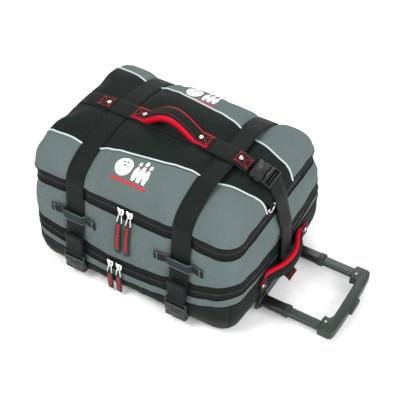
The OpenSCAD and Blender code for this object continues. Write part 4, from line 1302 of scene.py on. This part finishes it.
for s in (-1, 1):
    parts.append(rivet("p", (gx0 + 0.011, s * (gw - 0.027), pole_z + thick - 0.0004), (0, 0, 1), 0.0032,
                       STEEL))
    for x in (gx0 + 0.019, gx0 + 0.0225):
        parts.append(slab("p", (x, s * (gw - 0.021) - 0.011, pole_z + thick - 0.0006),
                          (x + 0.0012, s * (gw - 0.021) + 0.011, pole_z + thick + 0.0002), PLASTIC, 0.0003))
dress(join("hand_grip_moulding", parts), "dark_plastic", "stage_2", "hand_grip")
button_low, button_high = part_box("push_button")
parts = [slab("p", button_low, button_high, GRIP_BUTTON, 0.0024)]
for y in np.linspace(button_low.y + 0.008, button_high.y - 0.008, 6):
    parts.append(slab("p", (button_high.x - 0.0010, y - 0.0008, button_low.z + 0.0025),
                      (button_high.x + 0.0004, y + 0.0008, button_high.z - 0.0025), GRIP_BUTTON, 0.0004))
dress(join("push_button_moulding", parts), "dark_plastic", "push_button", "push_button")


def oval_ring(w, h, wall_):
    """Flat-sided oval outline and its inner one, in Y and Z."""
    outline_ = []
    for s, start in ((1, -90), (-1, 90)):
        outline_ += [(s * (w - h) / 2 + h / 2 * math.cos(math.radians(start + a)),
                      h / 2 * math.sin(math.radians(start + a))) for a in range(0, 181, 15)]
    return outline_, [(y * (1 - 2 * wall_ / w), z * (1 - 2 * wall_ / h)) for y, z in outline_]


def collar(name, body, x0, x1, w, h):
    """Moulded collars round both poles."""
    parts_ = []
    for s in (-1, 1):
        verts_, faces_ = [], []
        outer, inner = oval_ring(w, h, 0.0028)
        n = len(outer)
        rings = [(x0, outer, 0.97), (x0 + 0.0012, outer, 1.0), (x1 - 0.0020, outer, 1.0), (x1, outer, 0.93),
                 (x1, inner, 1.0), (x0, inner, 1.0)]
        for x, shape, k in rings:
            verts_ += [(x, s * pole_mid + y * k, pole_z + z * k) for y, z in shape]
        for i in range(len(rings)):
            a, b = i * n, (i + 1) % len(rings) * n
            faces_ += [(a + j, a + (j + 1) % n, b + (j + 1) % n, b + j) for j in range(n)]
        parts_.append(mesh_object("p", verts_, faces_, PLASTIC))
    dress(sharp_by_angle(join(name, parts_)), "dark_plastic", body)


pole_mid = stage_1_high.y - 0.017
bezel_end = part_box("trolley_bezel")[1].x
collar("stage_1_collars", "stage_1", stage_1_high.x - 0.0125, stage_1_high.x + 0.0025, 0.0365, 0.0225)
collar("bezel_collars", "base", bezel_end - 0.0002, bezel_end + 0.0050, 0.0465, 0.0330)

# ---- inside: divider and foam cradle -------------------------------------------------------------


def height_field(name, xs, ys, top, under_, material, slot_name, node_):
    """A closed pad between two height functions."""
    nx, ny = len(xs), len(ys)
    verts_ = [(x, y, top(x, y)) for x in xs for y in ys] + [(x, y, under_(x, y)) for x in xs for y in ys]
    faces_ = []
    for i in range(nx - 1):
        for j in range(ny - 1):
            a, b, c, d = i * ny + j, (i + 1) * ny + j, (i + 1) * ny + j + 1, i * ny + j + 1
            faces_ += [(a, b, c, d), (nx * ny + d, nx * ny + c, nx * ny + b, nx * ny + a)]
    rim = [(i, 0) for i in range(nx)] + [(nx - 1, j) for j in range(1, ny)]
    rim += [(i, ny - 1) for i in range(nx - 2, -1, -1)] + [(0, j) for j in range(ny - 2, 0, -1)]
    for (i, j), (k, m) in zip(rim, rim[1:] + rim[:1]):
        a, b = i * ny + j, k * ny + m
        faces_.append((a, nx * ny + a, nx * ny + b, b))
    obj = mesh_object(name, verts_, faces_, material)
    sharp_by_angle(obj, 50)
    dress(obj, slot_name, "upper_section", node_)


def arc_z(x):
    return arc_low + arc_r - math.sqrt(arc_r**2 - (x - arc_x) ** 2)


panel_low, panel_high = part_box("divider_panel")


def inset_corner(x, y):
    """How far a point is outside the divider's round corners."""
    cx, cy = (panel_low.x + panel_high.x) / 2, 0
    dx, dy = abs(x - cx) - (panel_high.x - panel_low.x) / 2 + 0.045, abs(y) - panel_high.y + 0.045
    return math.hypot(dx, dy) / 0.045 if dx > 0 and dy > 0 else 0


def rounded_xy(x, y):
    k = inset_corner(x, y)
    if k <= 1:
        return x, y
    cx = (panel_low.x + panel_high.x) / 2 + math.copysign((panel_high.x - panel_low.x) / 2 - 0.045, x)
    cy = math.copysign(panel_high.y - 0.045, y)
    return cx + (x - cx) / k, cy + (y - cy) / k


def quilt(x, y):
    return 0.0022 * abs(math.sin((x + y) / 0.06 * math.pi) * math.sin((x - y) / 0.06 * math.pi)) ** 0.5


height_field("divider_quilt", np.linspace(panel_low.x, panel_high.x, 92),
             np.linspace(panel_low.y, panel_high.y, 68),
             lambda x, y: arc_z(x) + 0.0155 + quilt(x, y), lambda x, y: arc_z(x) + 0.0140,
             QUILT, "black_fabric", "divider_panel")
divider = bpy.data.objects["divider_quilt"]
for v in divider.data.vertices:
    v.co.x, v.co.y = rounded_xy(v.co.x, v.co.y)
cradle_low, cradle_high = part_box("ball_cradle")
ball_r, ball_z = 0.109, arc_low + 0.027 + 0.109


def cradle_top(x, y):
    z = cradle_high.z
    edge = min(x - cradle_low.x, cradle_high.x - x, y - cradle_low.y, cradle_high.y - y)
    z -= 0.008 * (1 - float(ease(edge / 0.014)))
    for s in (-1, 1):
        d = math.hypot(x - arc_x - s * 0.112, y)
        if d < ball_r:
            z = min(z, ball_z - math.sqrt(ball_r**2 - d * d))
    return z


height_field("cradle_foam", np.linspace(cradle_low.x, cradle_high.x, 90),
             np.linspace(cradle_low.y, cradle_high.y, 66),
             cradle_top, lambda x, y: arc_z(x) + 0.0178, FOAM, "foam", "ball_cradle")

# ---- emblem --------------------------------------------------------------------------------------


def pin_half(v):
    """Half width of a bowling pin at a height of 0 to 1."""
    return float(np.interp(v, [0, 0.06, 0.30, 0.52, 0.66, 0.74, 0.86, 0.96, 1.0],
                           [0.13, 0.15, 0.235, 0.185, 0.10, 0.095, 0.135, 0.09, 0.0]))


def in_emblem(u, v):
    """Generic picture of a ball and three pins: 1 for the white thread, 2 for red, 0 for none."""
    if math.hypot(u + 0.017, v) < 0.0185:
        holes = ((-0.0215, 0.0090), (-0.0140, 0.0100), (-0.0165, 0.0025))
        return 0 if any(math.hypot(u - a, v - b) < 0.0024 for a, b in holes) else 1
    for cx, tall in ((0.0125, 0.040), (0.0245, 0.046), (0.0365, 0.040)):
        t = (v + 0.0185) / tall
        if 0 < t < 1 and abs(u - cx) < pin_half(t) * tall * 0.60:
            return 2 if 0.685 < t < 0.745 else 1
    return 2 if -0.0262 < v < -0.0236 and -0.034 < u < 0.046 else 0


def emblem(name, centre, along, up_):
    cell = 0.00105
    out = {1: ([], []), 2: ([], [])}
    for i in range(-36, 48):
        for j in range(-28, 28):
            kind = in_emblem((i + 0.5) * cell, (j + 0.5) * cell)
            if not kind:
                continue
            verts_, faces_ = out[kind]
            base = len(verts_)
            for du, dv in ((0, 0), (1, 0), (1, 1), (0, 1)):
                p = Vector(centre) + Vector(along) * (i + du) * cell + Vector(up_) * (j + dv) * cell
                hit, normal, _, _ = tree.ray_cast(Vector((p.x, p.y, 0.6)), Vector((0, 0, -1)))
                verts_.append(hit + normal * 0.0009)
            faces_.append((base, base + 1, base + 2, base + 3))
    for kind, material in ((1, EMBLEM), (2, THREAD_RED)):
        obj = mesh_object(f"{name}_{'white' if kind == 1 else 'red'}", *out[kind], material)
        bm = bmesh.new()
        bm.from_mesh(obj.data)
        bmesh.ops.remove_doubles(bm, verts=bm.verts, dist=0.0002)
        bm.to_mesh(obj.data)
        bm.free()
        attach(obj, "lid")


emblem("emblem_near", (-0.030, -0.155, 0), (1.15, 0.0, 0), (0, 1.15, 0))
emblem("emblem_far", (-0.030, 0.150, 0), (1.15, 0.0, 0), (0, 1.15, 0))

# ---- finishes of the frame's own hard parts ------------------------------------------------------

for node_name, material in (
    ("skid_rails", PLASTIC), ("wheel_housings", PLASTIC), ("wheel_axles", STEEL), ("trolley_outer_tubes",
            STEEL),
    ("trolley_bezel", PLASTIC), ("trolley_bracket", PLASTIC), ("base_board", BOARD), ("wheel_near", TYRE),
    ("wheel_far", TYRE), ("stage_1_tubes", TUBE_BLACK), ("stage_2_tubes", TUBE_DARK),
):
    node_mesh = frame["nodes"][node_name].data
    for i in range(len(node_mesh.materials)):
        node_mesh.materials[i] = material

# ---- floor, light and camera ---------------------------------------------------------------------

floor = mesh_object("floor", [(-9, -9, 0), (9, -9, 0), (9, 9, 0), (-9, 9, 0)], [(0, 1, 2, 3)],
                    moulded("floor_paint", (0.93, 0.93, 0.93), 0.9, 40, 0.0001, specular=0.1), smooth=False)

world = bpy.data.worlds.new("studio")
scene.world = world
world.use_nodes = True
world.node_tree.nodes["Background"].inputs["Color"].default_value = (1, 1, 1, 1)
world.node_tree.nodes["Background"].inputs["Strength"].default_value = 0.85


def soft_light(name, place, size, power):
    data = bpy.data.lights.new(name, "AREA")
    data.shape, data.size, data.energy = "DISK", size, power
    lamp = bpy.data.objects.new(name, data)
    scene.collection.objects.link(lamp)
    lamp.location = place
    lamp.rotation_mode = "QUATERNION"
    lamp.rotation_quaternion = (Vector(place) - Vector((0, 0, 0.15))).to_track_quat("Z", "Y")


soft_light("key", (-0.9, -1.6, 2.7), 1.6, 58)
soft_light("fill", (2.4, -0.8, 1.6), 2.0, 58)
soft_light("rim", (-0.6, 2.4, 2.0), 1.5, 26)

camera = bpy.data.objects.new("camera", bpy.data.cameras.new("camera"))
scene.collection.objects.link(camera)
camera.data.lens, camera.data.sensor_width = 85.5, 36  # millimetres
azimuth, elevation = math.radians(31.14), math.radians(45.03)
back = Vector((math.sin(azimuth) * math.cos(elevation), -math.cos(azimuth) * math.cos(elevation),
               math.sin(elevation)))
look_at, distance = Vector((0.0453, 0.0159, 0.150)), 2.3437
camera.location = look_at + back * distance
camera.rotation_mode = "QUATERNION"
camera.rotation_quaternion = back.to_track_quat("Z", "Y")
scene.camera = camera
scene.view_settings.view_transform = "Standard"
